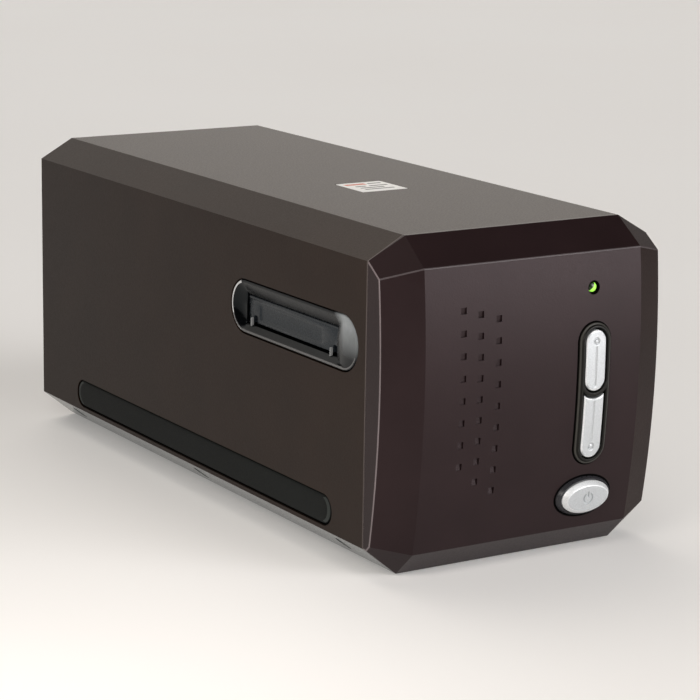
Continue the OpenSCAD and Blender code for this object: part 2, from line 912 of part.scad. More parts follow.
module frame_front_plate() color(zinc)
    difference() {
        union() {
            end_plate(frame_front_y, 64);
            end_plate_foot(frame_front_y - foot_flange_l + end_plate_t, frame_front_y + eps);
        }
        foot_hole(frame_front_y - 3);
    }

module frame_rear_plate() color(zinc)
    difference() {
        union() {
            end_plate(frame_rear_y - end_plate_t, 74);
            end_plate_foot(frame_rear_y - eps, frame_rear_y + foot_flange_l);
        }
        foot_hole(frame_rear_y + 4);
    }

module side_plate() {
    beam_low_z = 25;
    beam_top_z = 36;
    y0 = frame_front_y + end_plate_t;
    y1 = frame_rear_y - end_plate_t;
    guide_y0 = door_front_y - guide_wall_t;
    guide_y1 = door_rear_y + guide_wall_t;
    color(zinc)
        from_side(half_w - plate_x - plate_t, plate_t)
            polygon([[y0, beam_low_z], [y1, beam_low_z], [y1, beam_top_z], [guide_y1 + 12, beam_top_z],
                [guide_y1, guide_floor_z], [guide_y0, guide_floor_z], [y0, beam_top_z + 20]]);
}

module frame_right_plate() side_plate();
module frame_left_plate() mirror([1, 0, 0]) side_plate();

module film_window(z0, z1) {
    block(-window_w / 2, window_w / 2, window_y - window_l / 2, window_y + window_l / 2, z0, z1);
}

module film_guide() color(black) {
    y0 = door_front_y - guide_wall_t;
    y1 = door_rear_y + guide_wall_t;
    difference() {
        block(-guide_half_x, guide_half_x, y0, y1, guide_floor_z, guide_roof_z);
        block(-body_w, body_w, door_front_y, door_rear_y, guide_floor_z + guide_floor_t, body_h);
        film_window(guide_floor_z - 1, guide_roof_z);
        // Hole for the bump of the detent spring
        rod_y(1.9, 0, detent_z, door_rear_y - 1, y1 + 1);
    }
}

module film_guide_cover() color(black)
    difference() {
        block(-44, 44, door_front_y - guide_wall_t, door_rear_y + guide_wall_t, guide_roof_z,
            guide_roof_z + guide_roof_t);
        film_window(guide_roof_z - 1, body_h);
    }

detent_z = 78;

// Leaf spring whose bump drops into the notches of a film holder
module holder_detent_spring() color(steel) {
    leaf_y = door_rear_y + guide_wall_t;
    block(-18, 18, leaf_y, leaf_y + 0.4, detent_z - 2.5, detent_z + 2.5);
    rod_y(1.6, 0, detent_z, leaf_y - 2.6, leaf_y + eps);
}

module guide_rods() color(silver)
    both_sides() rod_y(rod_d / 2, rod_x, rod_z, frame_front_y, frame_rear_y);

// ---- Scan drive ----

module screw_bearings() color(brass)
    for (y = [frame_front_y, frame_rear_y - end_plate_t])
        difference() {
            rod_y(4 - seat_fit, screw_x, rod_z, y, y + end_plate_t);
            rod_y(2 + running_fit, screw_x, rod_z, y - 1, y + end_plate_t + 1);
        }

module lead_screw() color(silver) {
    rod_y(screw_d / 2, screw_x, rod_z, frame_front_y + end_plate_t + 0.4,
        frame_rear_y - end_plate_t - 0.4);
    rod_y(2, screw_x, rod_z, frame_front_y - 0.5, gear_y + gear_t + 1);
}

// Points of a gear with straight-sided teeth, wider at the root
function tooth(r, a) = [
    [(r - 1.2) * cos(a - 5.6 * 11 / r), (r - 1.2) * sin(a - 5.6 * 11 / r)],
    [(r + 0.85) * cos(a - 1.7 * 11 / r), (r + 0.85) * sin(a - 1.7 * 11 / r)],
    [(r + 0.85) * cos(a + 1.7 * 11 / r), (r + 0.85) * sin(a + 1.7 * 11 / r)],
    [(r - 1.2) * cos(a + 5.6 * 11 / r), (r - 1.2) * sin(a + 5.6 * 11 / r)]
];
function gear_points(teeth, turn) = [
    for (i = [0 : teeth - 1]) each tooth(gear_module * teeth / 2, turn + i * 360 / teeth)
];

// A gear round an axis along Y. Drawn in X and Z, so angles run from +X towards +Z
module spur_gear(x, z, teeth, turn, bore_r, hub_r) {
    difference() {
        union() {
            along_y(gear_y + gear_t, gear_t) translate([x, z]) polygon(gear_points(teeth, turn));
            rod_y(hub_r, x, z, gear_y - 0.6, gear_y + gear_t + 0.6);
        }
        rod_y(bore_r, x, z, gear_y - 2, gear_y + gear_t + 2);
    }
}

module screw_gear() color("#e8e4d6")
    spur_gear(screw_x, rod_z, gear_teeth, mesh_angle, 2 + seat_fit, 4.4);

// Its tooth gap faces a tooth of the lead screw's gear
module motor_pinion() color(brass)
    spur_gear(motor_x, motor_z, pinion_teeth, mesh_angle + 180 + 180 / pinion_teeth,
        1 + seat_fit, 3);

module motor_shaft() color(silver)
    rod_y(1, motor_x, motor_z, gear_y - 1, bracket_y + bracket_t + motor_l - 2);

module stepper_motor() color(zinc)
    difference() {
        union() {
            rod_y(motor_r, motor_x, motor_z, bracket_y + bracket_t, bracket_y + bracket_t + motor_l);
            rod_y(3.5, motor_x, motor_z, bracket_y + 0.6, bracket_y + bracket_t + eps);
        }
        rod_y(1 + running_fit, motor_x, motor_z, bracket_y - 1, bracket_y + bracket_t + motor_l - 1.5);
    }

module motor_bracket() color(zinc) {
    x0 = 24;
    x1 = 56;
    z0 = 27;
    z1 = 73;
    difference() {
        block(x0, x1, bracket_y, bracket_y + bracket_t, z0, z1);
        rod_y(3.6, motor_x, motor_z, bracket_y - 1, bracket_y + bracket_t + 1);
        rod_y(3, screw_x, rod_z, bracket_y - 1, bracket_y + bracket_t + 1);
    }
    for (z = [z0, z1 - 4])
        block(x0, x0 + 4, frame_rear_y, bracket_y + eps, z, z + 4);
}

// ---- Sled with the optics ----

module bushing_places()
    for (y = [sled_front_y, sled_rear_y - bushing_l]) both_sides() translate([0, y, 0]) children();

module scan_sled() color(black) {
    difference() {
        union() {
            difference() {
                block(-sled_half_w, sled_half_w, sled_front_y, sled_rear_y, sled_low_z, sled_top_z);
                block(-sled_half_w + sled_wall, sled_half_w - sled_wall, sled_front_y + sled_wall,
                    sled_rear_y - sled_wall, sled_low_z + sled_wall, sled_top_z - sled_wall);
                // The rear of the tray is open at the top
                block(-sled_half_w + sled_wall, sled_half_w - sled_wall, upright_y + upright_t,
                    sled_rear_y - sled_wall, axis_z, sled_top_z + 1);
                // Slit under the film line
                block(-20, 20, scan_line_y - 3, scan_line_y + 3, axis_z, sled_top_z + 1);
            }
            bushing_places()
                rod_y(bushing_r + 1.4, rod_x, rod_z, 0, bushing_l);
            block(-arm_half_w, arm_half_w, upright_y, upright_y + upright_t, sled_top_z - eps,
                arm_low_z);
            // Lug for the drive nut, and the flag for the home sensor
            block(sled_half_w - eps, screw_x + 4.4, nut_y, nut_y + 6, rod_z - 6, rod_z + 6);
            block(-sled_half_w - 5.5, -sled_half_w + eps, -50, -44, 41, 42);
        }
        bushing_places() rod_y(bushing_r + seat_fit, rod_x, rod_z, -1, bushing_l + 1);
        rod_y(nut_r + seat_fit, screw_x, rod_z, nut_y - 1, nut_y + 7);
    }
}

module sled_bushings() color(brass)
    bushing_places()
        difference() {
            rod_y(bushing_r, rod_x, rod_z, 0, bushing_l);
            rod_y(rod_d / 2 + running_fit, rod_x, rod_z, -1, bushing_l + 1);
        }

module drive_nut() color(brass)
    difference() {
        rod_y(nut_r, screw_x, rod_z, nut_y - 2, nut_y - 2 + nut_l);
        rod_y(screw_d / 2 + running_fit, screw_x, rod_z, nut_y - 3, nut_y + nut_l);
    }

module lamp_arm() color(black)
    difference() {
        block(-arm_half_w, arm_half_w, sled_front_y - 2, upright_y + upright_t, arm_low_z, arm_top_z);
        block(-arm_half_w + arm_wall, arm_half_w - arm_wall, sled_front_y, upright_y - 2,
            arm_low_z + arm_wall, arm_top_z - arm_wall);
        block(-24, 24, scan_line_y - 6, scan_line_y + 6, arm_low_z - 1, arm_low_z + arm_wall + 1);
    }

module lamp_diffuser() color("white")
    block(-23.8, 23.8, scan_line_y - 5.8, scan_line_y + 5.8, arm_low_z, arm_low_z + arm_wall);

module lamp_board() color("white") {
    board_z = arm_top_z - arm_wall - pcb_t;
    block(-28, 28, scan_line_y - 9, scan_line_y + 9, board_z, arm_top_z - arm_wall);
    for (i = [-3 : 3])
        block(7 * i - 1.4, 7 * i + 1.4, scan_line_y - 1.4, scan_line_y + 1.4, board_z - 1, board_z + eps);
}

mirror_t = 3;
mirror_l = 24;

module fold_mirror() color(silver)
    translate([0, scan_line_y, axis_z])
        rotate([-45, 0, 0]) cube([44, mirror_l, mirror_t], center = true);

// Wedge whose slope carries the mirror's back
module mirror_holder() color(black) {
    back = mirror_t / 2 * sqrt(2);
    reach = mirror_l / 2 * cos(45);
    along_x_block(-22, 22) polygon([
        [scan_line_y - reach - 0.6, sled_low_z + sled_wall],
        [scan_line_y - reach - 0.6, axis_z + reach + 0.6 - back],
        [scan_line_y + reach, axis_z - reach - back],
        [scan_line_y + reach, sled_low_z + sled_wall]
    ]);
}

// Extrudes a drawing of Y and Z along X
module along_x_block(x0, x1) {
    translate([x0, 0, 0]) rotate([90, 0, 90]) linear_extrude(x1 - x0) children();
}

lens_front_y = -8;
lens_rear_y = 14;

module lens_barrel() color(black)
    difference() {
        rod_y(lens_d / 2, 0, axis_z, lens_front_y, lens_rear_y);
        rod_y(lens_d / 2 - 3, 0, axis_z, lens_front_y - 1, lens_front_y + 4);
        rod_y(lens_d / 2 - 4, 0, axis_z, lens_rear_y - 4, lens_rear_y + 1);
    }

module lens_clamp() color(zinc)
    difference() {
        block(-14, 14, -4, 8, sled_low_z + sled_wall, axis_z + lens_d / 2 + 2.5);
        rod_y(lens_d / 2 + seat_fit, 0, axis_z, -5, 9);
    }

module sensor_board() color(board_green)
    block(-22.5, 22.5, 43.4, 43.4 + pcb_t, sled_low_z + sled_wall + 0.5, 61);

module line_sensor() color("#3a3440")
    block(-20, 20, 40.6, 43.4, axis_z - 4.5, axis_z + 4.5);

// ---- Electronics ----

board_screw_xy = [[35, -60], [35, 122]];

module main_board() color(board_green)
    difference() {
        block(-main_board_w / 2, main_board_w / 2, main_board_front_y, main_board_rear_y,
            main_board_z, main_board_z + pcb_t);
        both_sides()
            for (p = board_screw_xy)
                translate([p[0], p[1], main_board_z - 1]) cylinder(r = screw_bore_r + 0.1, h = 4);
    }

// Packages on the main board: centre, width, length and height
chips = [
    [0, 20, 20, 20, 1.6], [-20, -10, 12, 8, 1.2], [18, 48, 10, 14, 1.2], [-22, 52, 8, 8, 1.2],
    [24, 8, 7, 7, 1.2], [6, -30, 9, 5, 1.1], [26, 88, 12, 12, 7]
];

module board_chips() color(black) {
    top = main_board_z + pcb_t;
    for (c = chips)
        block(c[0] - c[2] / 2, c[0] + c[2] / 2, c[1] - c[3] / 2, c[1] + c[3] / 2, top, top + c[4]);
    for (y = [66 : 12 : 90]) translate([-26, y, top]) cylinder(r = 4, h = 9);
}

module usb_socket() color(silver)
    difference() {
        block(usb_x - 6, usb_x + 6, main_board_rear_y - 14, panel_front_y + panel_t,
            usb_z - 5.6, usb_z + 5.4);
        difference() {
            block(usb_x - 4.25, usb_x + 4.25, main_board_rear_y - 6, rear_y, usb_z - 4, usb_z + 3.8);
            block(usb_x - 2.85, usb_x + 2.85, main_board_rear_y - 8, panel_front_y, usb_z - 1.6,
                usb_z + 1.6);
        }
    }

module power_socket() color(black) {
    y0 = main_board_rear_y - 11;
    difference() {
        union() {
            block(jack_x - 4.5, jack_x + 4.5, y0, panel_front_y - 0.4, main_board_z + pcb_t, jack_z + 4.6);
            rod_y(jack_r, jack_x, jack_z, panel_front_y - 1, panel_front_y + panel_t);
        }
        rod_y(3.2, jack_x, jack_z, y0 + 2, rear_y);
    }
    rod_y(1, jack_x, jack_z, y0 + 1.9, panel_front_y);
}

// Flat ribbon from the front board, under the inner frame, to the main board
module panel_ribbon() color("white") {
    y0 = front_board_y + pcb_t;
    top = main_board_z + pcb_t;
    t = 0.3;
    along_x_block(15, 27) polygon([
        [y0, 22], [y0 + 3, 22], [y0 + 6, top + 1.2], [main_board_front_y + 3, top + 1.2],
        [main_board_front_y + 3, top], [main_board_front_y + 7, top],
        [main_board_front_y + 7, top + 1.2 + t], [y0 + 6 + t, top + 1.2 + t],
        [y0 + 3 + t, 22 + t], [y0, 22 + t]
    ]);
}

module home_sensor() color(black)
    difference() {
        block(-plate_x, -39, -52, -42, 34, 49);
        block(-45, -38, -53, -41, 39, 44);
    }

// ---- Fasteners ----

module screw_up(x, y, head_z, length) {
    translate([x, y, head_z - screw_head_t]) cylinder(r = screw_head_r, h = screw_head_t);
    translate([x, y, head_z - eps]) cylinder(r = screw_shank_r, h = length);
}

// Screws that hold the casing: six under the base and four in the rear panel
module base_screws() color(zinc)
    both_sides() {
        for (y = base_screw_ys) screw_up(boss_x, y, screw_seat_z, 11);
        for (p = panel_screw_xz) {
            rod_y(screw_head_r, p[0], p[1], panel_front_y + panel_t,
                panel_front_y + panel_t + 1.6);
            rod_y(screw_shank_r, p[0], p[1], panel_front_y - 6, panel_front_y + panel_t + eps);
        }
    }

// Screws inside: frame feet, main board and front board
module chassis_screws() color(zinc) {
    both_sides() {
        for (y = frame_post_ys)
            mirror([0, 0, 1]) screw_up(foot_x, y, -frame_low_z - foot_flange_t, 5);
        for (p = board_screw_xy) mirror([0, 0, 1]) screw_up(p[0], p[1], -main_board_z - pcb_t, 5);
    }
    for (p = front_boss_xz) {
        rod_y(screw_head_r, p[0], p[1], front_board_y + pcb_t,
            front_board_y + pcb_t + screw_head_t);
        rod_y(screw_shank_r, p[0], p[1], front_board_y - 5, front_board_y + pcb_t + eps);
    }
}

outer_shell();
front_bezel();
rear_panel();
base_tray();
rubber_feet();
left_side_strip();
right_side_strip();
left_slot_bezel();
right_slot_bezel();
left_dust_door();
right_dust_door();
left_door_pin();
right_door_pin();
left_door_spring();
right_door_spring();
button_frame();
upper_scan_button();
lower_scan_button();
power_button();
power_button_collar();
led_light_pipe();
front_board();
tact_switches();
status_led();
top_label();
frame_front_plate();
frame_rear_plate();
frame_left_plate();
frame_right_plate();
film_guide();
film_guide_cover();
holder_detent_spring();
guide_rods();
scan_sled();
sled_bushings();
drive_nut();
lead_screw();
screw_gear();
screw_bearings();
motor_pinion();
motor_shaft();
stepper_motor();
motor_bracket();
lamp_arm();
lamp_board();
lamp_diffuser();
fold_mirror();
mirror_holder();
lens_barrel();
lens_clamp();
sensor_board();
line_sensor();
main_board();
board_chips();
usb_socket();
power_socket();
panel_ribbon();
home_sensor();
base_screws();
chassis_screws();
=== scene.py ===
import json
import math

import bmesh
import bpy
from mathutils import Matrix, Vector, geometry


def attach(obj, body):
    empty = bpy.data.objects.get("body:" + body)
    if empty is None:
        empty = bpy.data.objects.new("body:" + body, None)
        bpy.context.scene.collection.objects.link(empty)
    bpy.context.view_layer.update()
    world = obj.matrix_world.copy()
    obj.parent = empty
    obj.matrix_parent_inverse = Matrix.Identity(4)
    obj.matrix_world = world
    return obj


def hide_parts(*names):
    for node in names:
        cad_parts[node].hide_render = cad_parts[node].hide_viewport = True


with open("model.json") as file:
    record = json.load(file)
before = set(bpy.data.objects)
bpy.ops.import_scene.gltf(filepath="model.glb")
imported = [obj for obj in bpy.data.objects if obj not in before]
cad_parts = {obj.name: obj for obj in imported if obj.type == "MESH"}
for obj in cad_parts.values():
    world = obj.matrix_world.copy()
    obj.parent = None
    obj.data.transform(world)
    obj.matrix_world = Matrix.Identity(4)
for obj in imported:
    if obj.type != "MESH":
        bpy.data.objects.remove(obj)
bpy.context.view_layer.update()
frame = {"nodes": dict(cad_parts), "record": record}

MM = 0.001
scene = bpy.context.scene
for leftover in ("Camera", "Light", "Cube"):
    if leftover in bpy.data.objects:
        bpy.data.objects.remove(bpy.data.objects[leftover])

BODY_OF = {n: body for body, nodes in frame["record"]["behaviour"]["bodies"].items() for n in nodes}
SLOT_OF = {p["node"]: p["material_slot"] for p in frame["record"]["subparts"]}

# ---- Dimensions shared with the CAD, in millimetres ----

HALF_W = 59.0
BODY_H = 119.4
SEAM_Y = -118.6

# The curved face: its foremost Y, its radius and the height of its foremost line
FACE_Y0, FACE_R, FACE_Z = -134.5, 355.0, 71.7

# Scan buttons, and the round hollow at the top of the lower one
SCAN_X, SCAN_W = 25.2, 8.4
UPPER_TOP_Z, UPPER_LOW_Z, LOWER_LOW_Z = 82.8, 61.0, 36.6
NOTCH_Z = UPPER_LOW_Z + SCAN_W / 2
NOTCH_R = 7.0
BUTTON_TOP = 1.49
BUTTON_GAP = 0.7

# The rim around both scan buttons
FRAME_W = 13.4
FRAME_H = UPPER_TOP_Z - LOWER_LOW_Z + FRAME_W - SCAN_W
FRAME_Z = (UPPER_TOP_Z + LOWER_LOW_Z) / 2
FRAME_TOP = 1.4

# The stems behind the buttons, which end at the switches
STEM_R = 1.5
SWITCH_Y = -124.3

# Power button and status light
POWER_X, POWER_Z = 24.8, 22.0
POWER_A, POWER_B = 10.2, 6.1
POWER_TOP = 3.68
LED_X, LED_Z = 24.8, 97.5

# Film slots: outline, door opening, and depths below the body's sides
SLOT_Y, SLOT_Z = -69.8, 80.75
SLOT_L, SLOT_H = 87.6, 20.3
DOOR_Y, DOOR_L = -65.4, 62.6
DOOR_LOW_Z, DOOR_H = 74.0, 11.0
OPENING_DEPTH = 2.8
FLANGE_FRONT, FLANGE_BACK = 2.52, 4.1
BEZEL_BACK = 7.6

# Door leaves, and the notches in their lower edges as front and rear Y
LEAF_FRONT_Y, LEAF_REAR_Y = -96.2, -35.0
LEAF_LOW_Z, LEAF_TOP_Z = 74.95, 83.7
LEAF_DEPTH, LEAF_BACK, PANEL_DEPTH = 2.8, 4.2, 3.16
PANEL_Y0, PANEL_Y1, PANEL_Z0, PANEL_Z1 = -86.3, -42.3, 76.1, 82.6
NOTCHES = ((-95.4, -93.2), (-40.6, -38.4))
NOTCH_ROOF_Z = 77.7
STOP_LOW_Z, STOP_W, STOP_T = 73.7, 0.5, 1.1

STRIP_Y, STRIP_Z = 2.5, 18.7
STRIP_L, STRIP_H = 200.8, 11.0
LABEL_Y, LABEL_W, LABEL_L = -28.0, 20.0, 20.0
REAR_SCREW_X = 52.5
REAR_SCREW_ZS = (100.0, 30.0)

# Points to a side of an outline, and the radius at which a turned shape closes on its axis
BUTTON_POINTS = 60
SLOT_POINTS = 22
STRIP_POINTS = 26
OVAL_POINTS = 96
CLOSED = 0.01


def face_y(z):
    """Where the curved face stands at height z."""
    return FACE_Y0 + FACE_R - math.sqrt(FACE_R ** 2 - (z - FACE_Z) ** 2)


# ---- Camera, fitted to the photograph ----

PICTURE = 700
SENSOR = 36


def make_camera():
    az, el, roll, distance = -0.554017, 0.216850, 0.0147897, 0.970811
    focal, cx, cy = 2492.878, 330.112, 326.818
    back = Vector((math.sin(az) * math.cos(el), -math.cos(az) * math.cos(el), math.sin(el)))
    level = (-back).cross(Vector((0, 0, 1))).normalized()
    above = level.cross(-back)
    right = level * math.cos(roll) + above * math.sin(roll)
    up = -level * math.sin(roll) + above * math.cos(roll)
    data = bpy.data.cameras.new("camera")
    data.sensor_width = SENSOR
    data.lens = focal / PICTURE * SENSOR
    data.shift_x = (PICTURE / 2 - cx) / PICTURE
    data.shift_y = (cy - PICTURE / 2) / PICTURE
    data.clip_start = 0.01
    data.clip_end = 50
    camera = bpy.data.objects.new("camera", data)
    turn = Matrix((right, up, back)).transposed().to_4x4()
    camera.matrix_world = Matrix.Translation(Vector((0, 0, 0.06)) + back * distance) @ turn
    scene.collection.objects.link(camera)
    scene.camera = camera


make_camera()

# ---- Materials ----


class Graph:
    """Short way to write a material's nodes."""

    def __init__(self, name):
        self.material = bpy.data.materials.new(name)
        self.material.use_nodes = True
        self.tree = self.material.node_tree
        self.shader = self.tree.nodes["Principled BSDF"]
        self.coords = self.tree.nodes.new("ShaderNodeTexCoord").outputs["Object"]

    def node(self, kind, inputs=(), **settings):
        n = self.tree.nodes.new("ShaderNode" + kind)
        for key, value in settings.items():
            setattr(n, key, value)
        for key, value in dict(inputs).items():
            self.put(n.inputs[key], value)
        return n

    def put(self, socket, value):
        if isinstance(value, bpy.types.NodeSocket):
            self.tree.links.new(value, socket)
        else:
            socket.default_value = value

    def axes(self):
        return self.node("SeparateXYZ", {"Vector": self.coords}).outputs

    def noise(self, scale, detail=2.0, rough=0.5, stretch=None):
        coords = self.coords
        if stretch:
            coords = self.node("Mapping", {"Vector": coords, "Scale": stretch}).outputs[0]
        return self.node("TexNoise", {"Vector": coords, "Scale": scale, "Detail": detail,
                                      "Roughness": rough}).outputs["Fac"]

    def spread(self, value, low, high, out_low=0.0, out_high=1.0):
        return self.node("MapRange", {"Value": value, "From Min": low, "From Max": high,
                                      "To Min": out_low, "To Max": out_high}).outputs[0]

    def mix(self, factor, a, b):
        n = self.node("Mix", data_type="RGBA")
        self.put(n.inputs[0], factor)
        self.put(n.inputs[6], a)
        self.put(n.inputs[7], b)
        return n.outputs[2]

    def shade(self, factor, colour, low, high):
        """The colour between a darker and a lighter version of itself."""
        return self.mix(factor, rgb(*colour, gain=low), rgb(*colour, gain=high))

    def math(self, operation, a, b):
        n = self.node("Math", operation=operation)
        self.put(n.inputs[0], a)
        self.put(n.inputs[1], b)
        return n.outputs[0]

    def times(self, a, b):
        return self.math("MULTIPLY", a, b)

    def vector(self, operation, a, b=None):
        inputs = {0: a} if b is None else {0: a, 1: b}
        return self.node("VectorMath", inputs, operation=operation).outputs

    def bump(self, height, distance, strength=1.0):
        return self.node("Bump", {"Height": height, "Distance": distance,
                                  "Strength": strength}).outputs[0]

    def set(self, **inputs):
        """Fills the shader's sockets and gives back the material."""
        for key, value in inputs.items():
            self.put(self.shader.inputs[key.replace("_", " ")], value)
        return self.material


def rgb(r, g, b, gain=1.0):
    return (r * gain, g * gain, b * gain, 1.0)


def moulded(name, colour, rough, grain=1500.0, specular=0.5, vary=0.12, tint=(1.0, 1.0, 1.0),
            seam_highlight=None):
    """Moulded plastic with a fine texture and faint clouding; the last colour paints a highlight
    along the seam's rim.
    """
    g = Graph(name)
    fine = g.noise(grain, 3.0, 0.6)
    base = g.shade(g.spread(g.noise(38.0, 3.0), 0.3, 0.7), colour, 1 - vary, 1 + vary)
    if seam_highlight:
        # Painted highlight: a thin band at the shell's front edge, by the seam, is lightened
        rim = g.spread(g.axes()[1], (SEAM_Y + 0.48) * MM, (SEAM_Y + 0.36) * MM)
        base = g.mix(rim, base, rgb(*seam_highlight))
    return g.set(Base_Color=base,
                 Roughness=g.spread(fine, 0.3, 0.7, rough - 0.05, rough + 0.05),
                 Normal=g.bump(fine, 0.00003),
                 Specular_IOR_Level=specular, Specular_Tint=rgb(*tint))


def glossy(name, colour, rough, specular):
    """Polished plastic with slight waves from the mould, and a painted sheen on the slots' front
    ends.
    """
    g = Graph(name)
    wave = g.noise(90.0, 2.0)
    haze = g.noise(700.0, 3.0)
    axes = g.axes()
    # Painted sheen: the upper front end of each slot's dish is lightened towards grey
    toward_front = g.spread(axes[1], -0.0975, -0.1030)
    toward_top = g.spread(axes[2], 0.0755, 0.0870)
    streaks = g.spread(g.noise(160.0, 3.0), 0.25, 0.6, 0.7, 1.0)
    painted_sheen = g.times(g.times(toward_front, toward_top), streaks)
    base = g.shade(g.spread(haze, 0.3, 0.7), colour, 0.85, 1.15)
    return g.set(Base_Color=g.mix(painted_sheen, base, rgb(0.30, 0.325, 0.34)),
                 Roughness=g.spread(haze, 0.35, 0.65, rough * 0.85, rough * 1.2),
                 Normal=g.bump(wave, 0.00015, 0.35),
                 Specular_IOR_Level=specular, Specular_Tint=rgb(0.84, 0.94, 1.0))


def rubber_like(name, colour, rough=0.62, specular=0.16):
    """Matt rubber with a fine grain."""
    g = Graph(name)
    fine = g.noise(2600.0, 4.0, 0.65)
    return g.set(Base_Color=g.shade(g.spread(g.noise(60.0, 3.0), 0.3, 0.7), colour, 0.85, 1.15),
                 Roughness=g.spread(fine, 0.3, 0.7, rough - 0.06, rough + 0.06),
                 Normal=g.bump(fine, 0.00004), Specular_IOR_Level=specular)


def silver_paint(name, colour):
    """Satin silver paint: fine flakes under a thin clear layer."""
    g = Graph(name)
    flakes = g.node("TexVoronoi", {"Vector": g.coords, "Scale": 5200.0}).outputs["Color"]
    level = g.node("SeparateColor", {"Color": flakes}).outputs[0]
    soft = g.noise(900.0, 3.0)
    return g.set(Base_Color=g.shade(level, colour, 0.86, 1.08),
                 Metallic=g.spread(level, 0.0, 1.0, 0.35, 0.6),
                 Roughness=g.spread(soft, 0.3, 0.7, 0.36, 0.44),
                 Normal=g.bump(g.math("ADD", g.times(level, 0.5), soft), 0.00002),
                 Coat_Weight=0.15, Coat_Roughness=0.2)


def metal(name, colour, rough, stretch=(1.0, 1.0, 1.0), spangled=False):
    """Ground metal, or sheet with the spangle of its zinc."""
    g = Graph(name)
    grain = g.noise(1400.0, 3.0, 0.6, stretch)
    if spangled:
        blotch = g.node("TexVoronoi", {"Vector": g.coords, "Scale": 160.0}).outputs["Distance"]
    else:
        blotch = g.noise(120.0, 3.0)
    return g.set(Base_Color=g.shade(g.spread(blotch, 0.2, 0.8), colour, 0.82, 1.06),
                 Roughness=g.spread(grain, 0.3, 0.7, rough - 0.07, rough + 0.08),
                 Normal=g.bump(grain, 0.00001), Metallic=1.0)


def board(name, colour):
    """Solder mask with faint traces below it and fibre weave."""
    g = Graph(name)
    weave = g.node("TexWave", {"Vector": g.coords, "Scale": 900.0, "Distortion": 0.4})
    weave = weave.outputs["Fac"]
    trace = g.node("TexBrick", {"Vector": g.coords, "Scale": 260.0, "Mortar Size": 0.03},
                   offset=0.5).outputs["Fac"]
    return g.set(Base_Color=g.shade(trace, colour, 1.0, 1.7),
                 Roughness=g.spread(weave, 0, 1, 0.28, 0.36), Normal=g.bump(weave, 0.00001))


def light_guide(name):
    """Green light pipe; the lit part is a crescent beside a round shadow."""
    g = Graph(name)
    swirl = g.noise(900.0, 2.0)
    shadow_centre = (0.02148, 0.0, 0.0997)
    apart = g.vector("SUBTRACT", g.coords, shadow_centre)[0]
    flat = g.vector("MULTIPLY", apart, (1.0, 0.0, 1.0))[0]
    reach = g.vector("LENGTH", flat)["Value"]
    ragged = g.math("ADD", reach, g.spread(swirl, 0.3, 0.7, -0.00012, 0.00012))
    lit = g.spread(ragged, 0.00375, 0.00405)
    return g.set(Base_Color=g.mix(lit, rgb(0.006, 0.02, 0.003), rgb(0.30, 0.75, 0.08)),
                 Emission_Color=g.mix(lit, rgb(0.002, 0.006, 0.001), rgb(0.36, 0.86, 0.09)),
                 Roughness=g.spread(swirl, 0.3, 0.7, 0.1, 0.18), Normal=g.bump(swirl, 0.00001),
                 Emission_Strength=0.75)


def label_film(name):
    """White film with a plain orange block and plain black bars."""
    g = Graph(name)
    paper = g.noise(2200.0, 3.0)
    base = g.mix(paper, rgb(0.84, 0.84, 0.83), rgb(0.92, 0.92, 0.91))
    axes = g.axes()

    def between(value, low, high):
        return g.times(g.math("GREATER_THAN", value, low), g.math("LESS_THAN", value, high))

    # Each mark: colour, left and right X, front and rear Y
    marks = [((0.62, 0.10, 0.03), -8.0, 1.0, -23.4, -20.4)]
    marks += [((0.02, 0.02, 0.025), left, right, y, y + 1.5) for left, right, y in
              ((2.0, 8.0, -22.6), (-6.0, -1.5, -27.2), (0.0, 8.0, -27.2), (-6.0, 4.5, -30.6),
               (-6.0, 7.0, -33.8))]
    for colour, x0, x1, y0, y1 in marks:
        inside = g.times(between(axes[0], x0 * MM, x1 * MM), between(axes[1], y0 * MM, y1 * MM))
        base = g.mix(inside, base, rgb(*colour))
    return g.set(Base_Color=base, Roughness=g.spread(paper, 0.3, 0.7, 0.3, 0.4),
                 Normal=g.bump(paper, 0.00001))


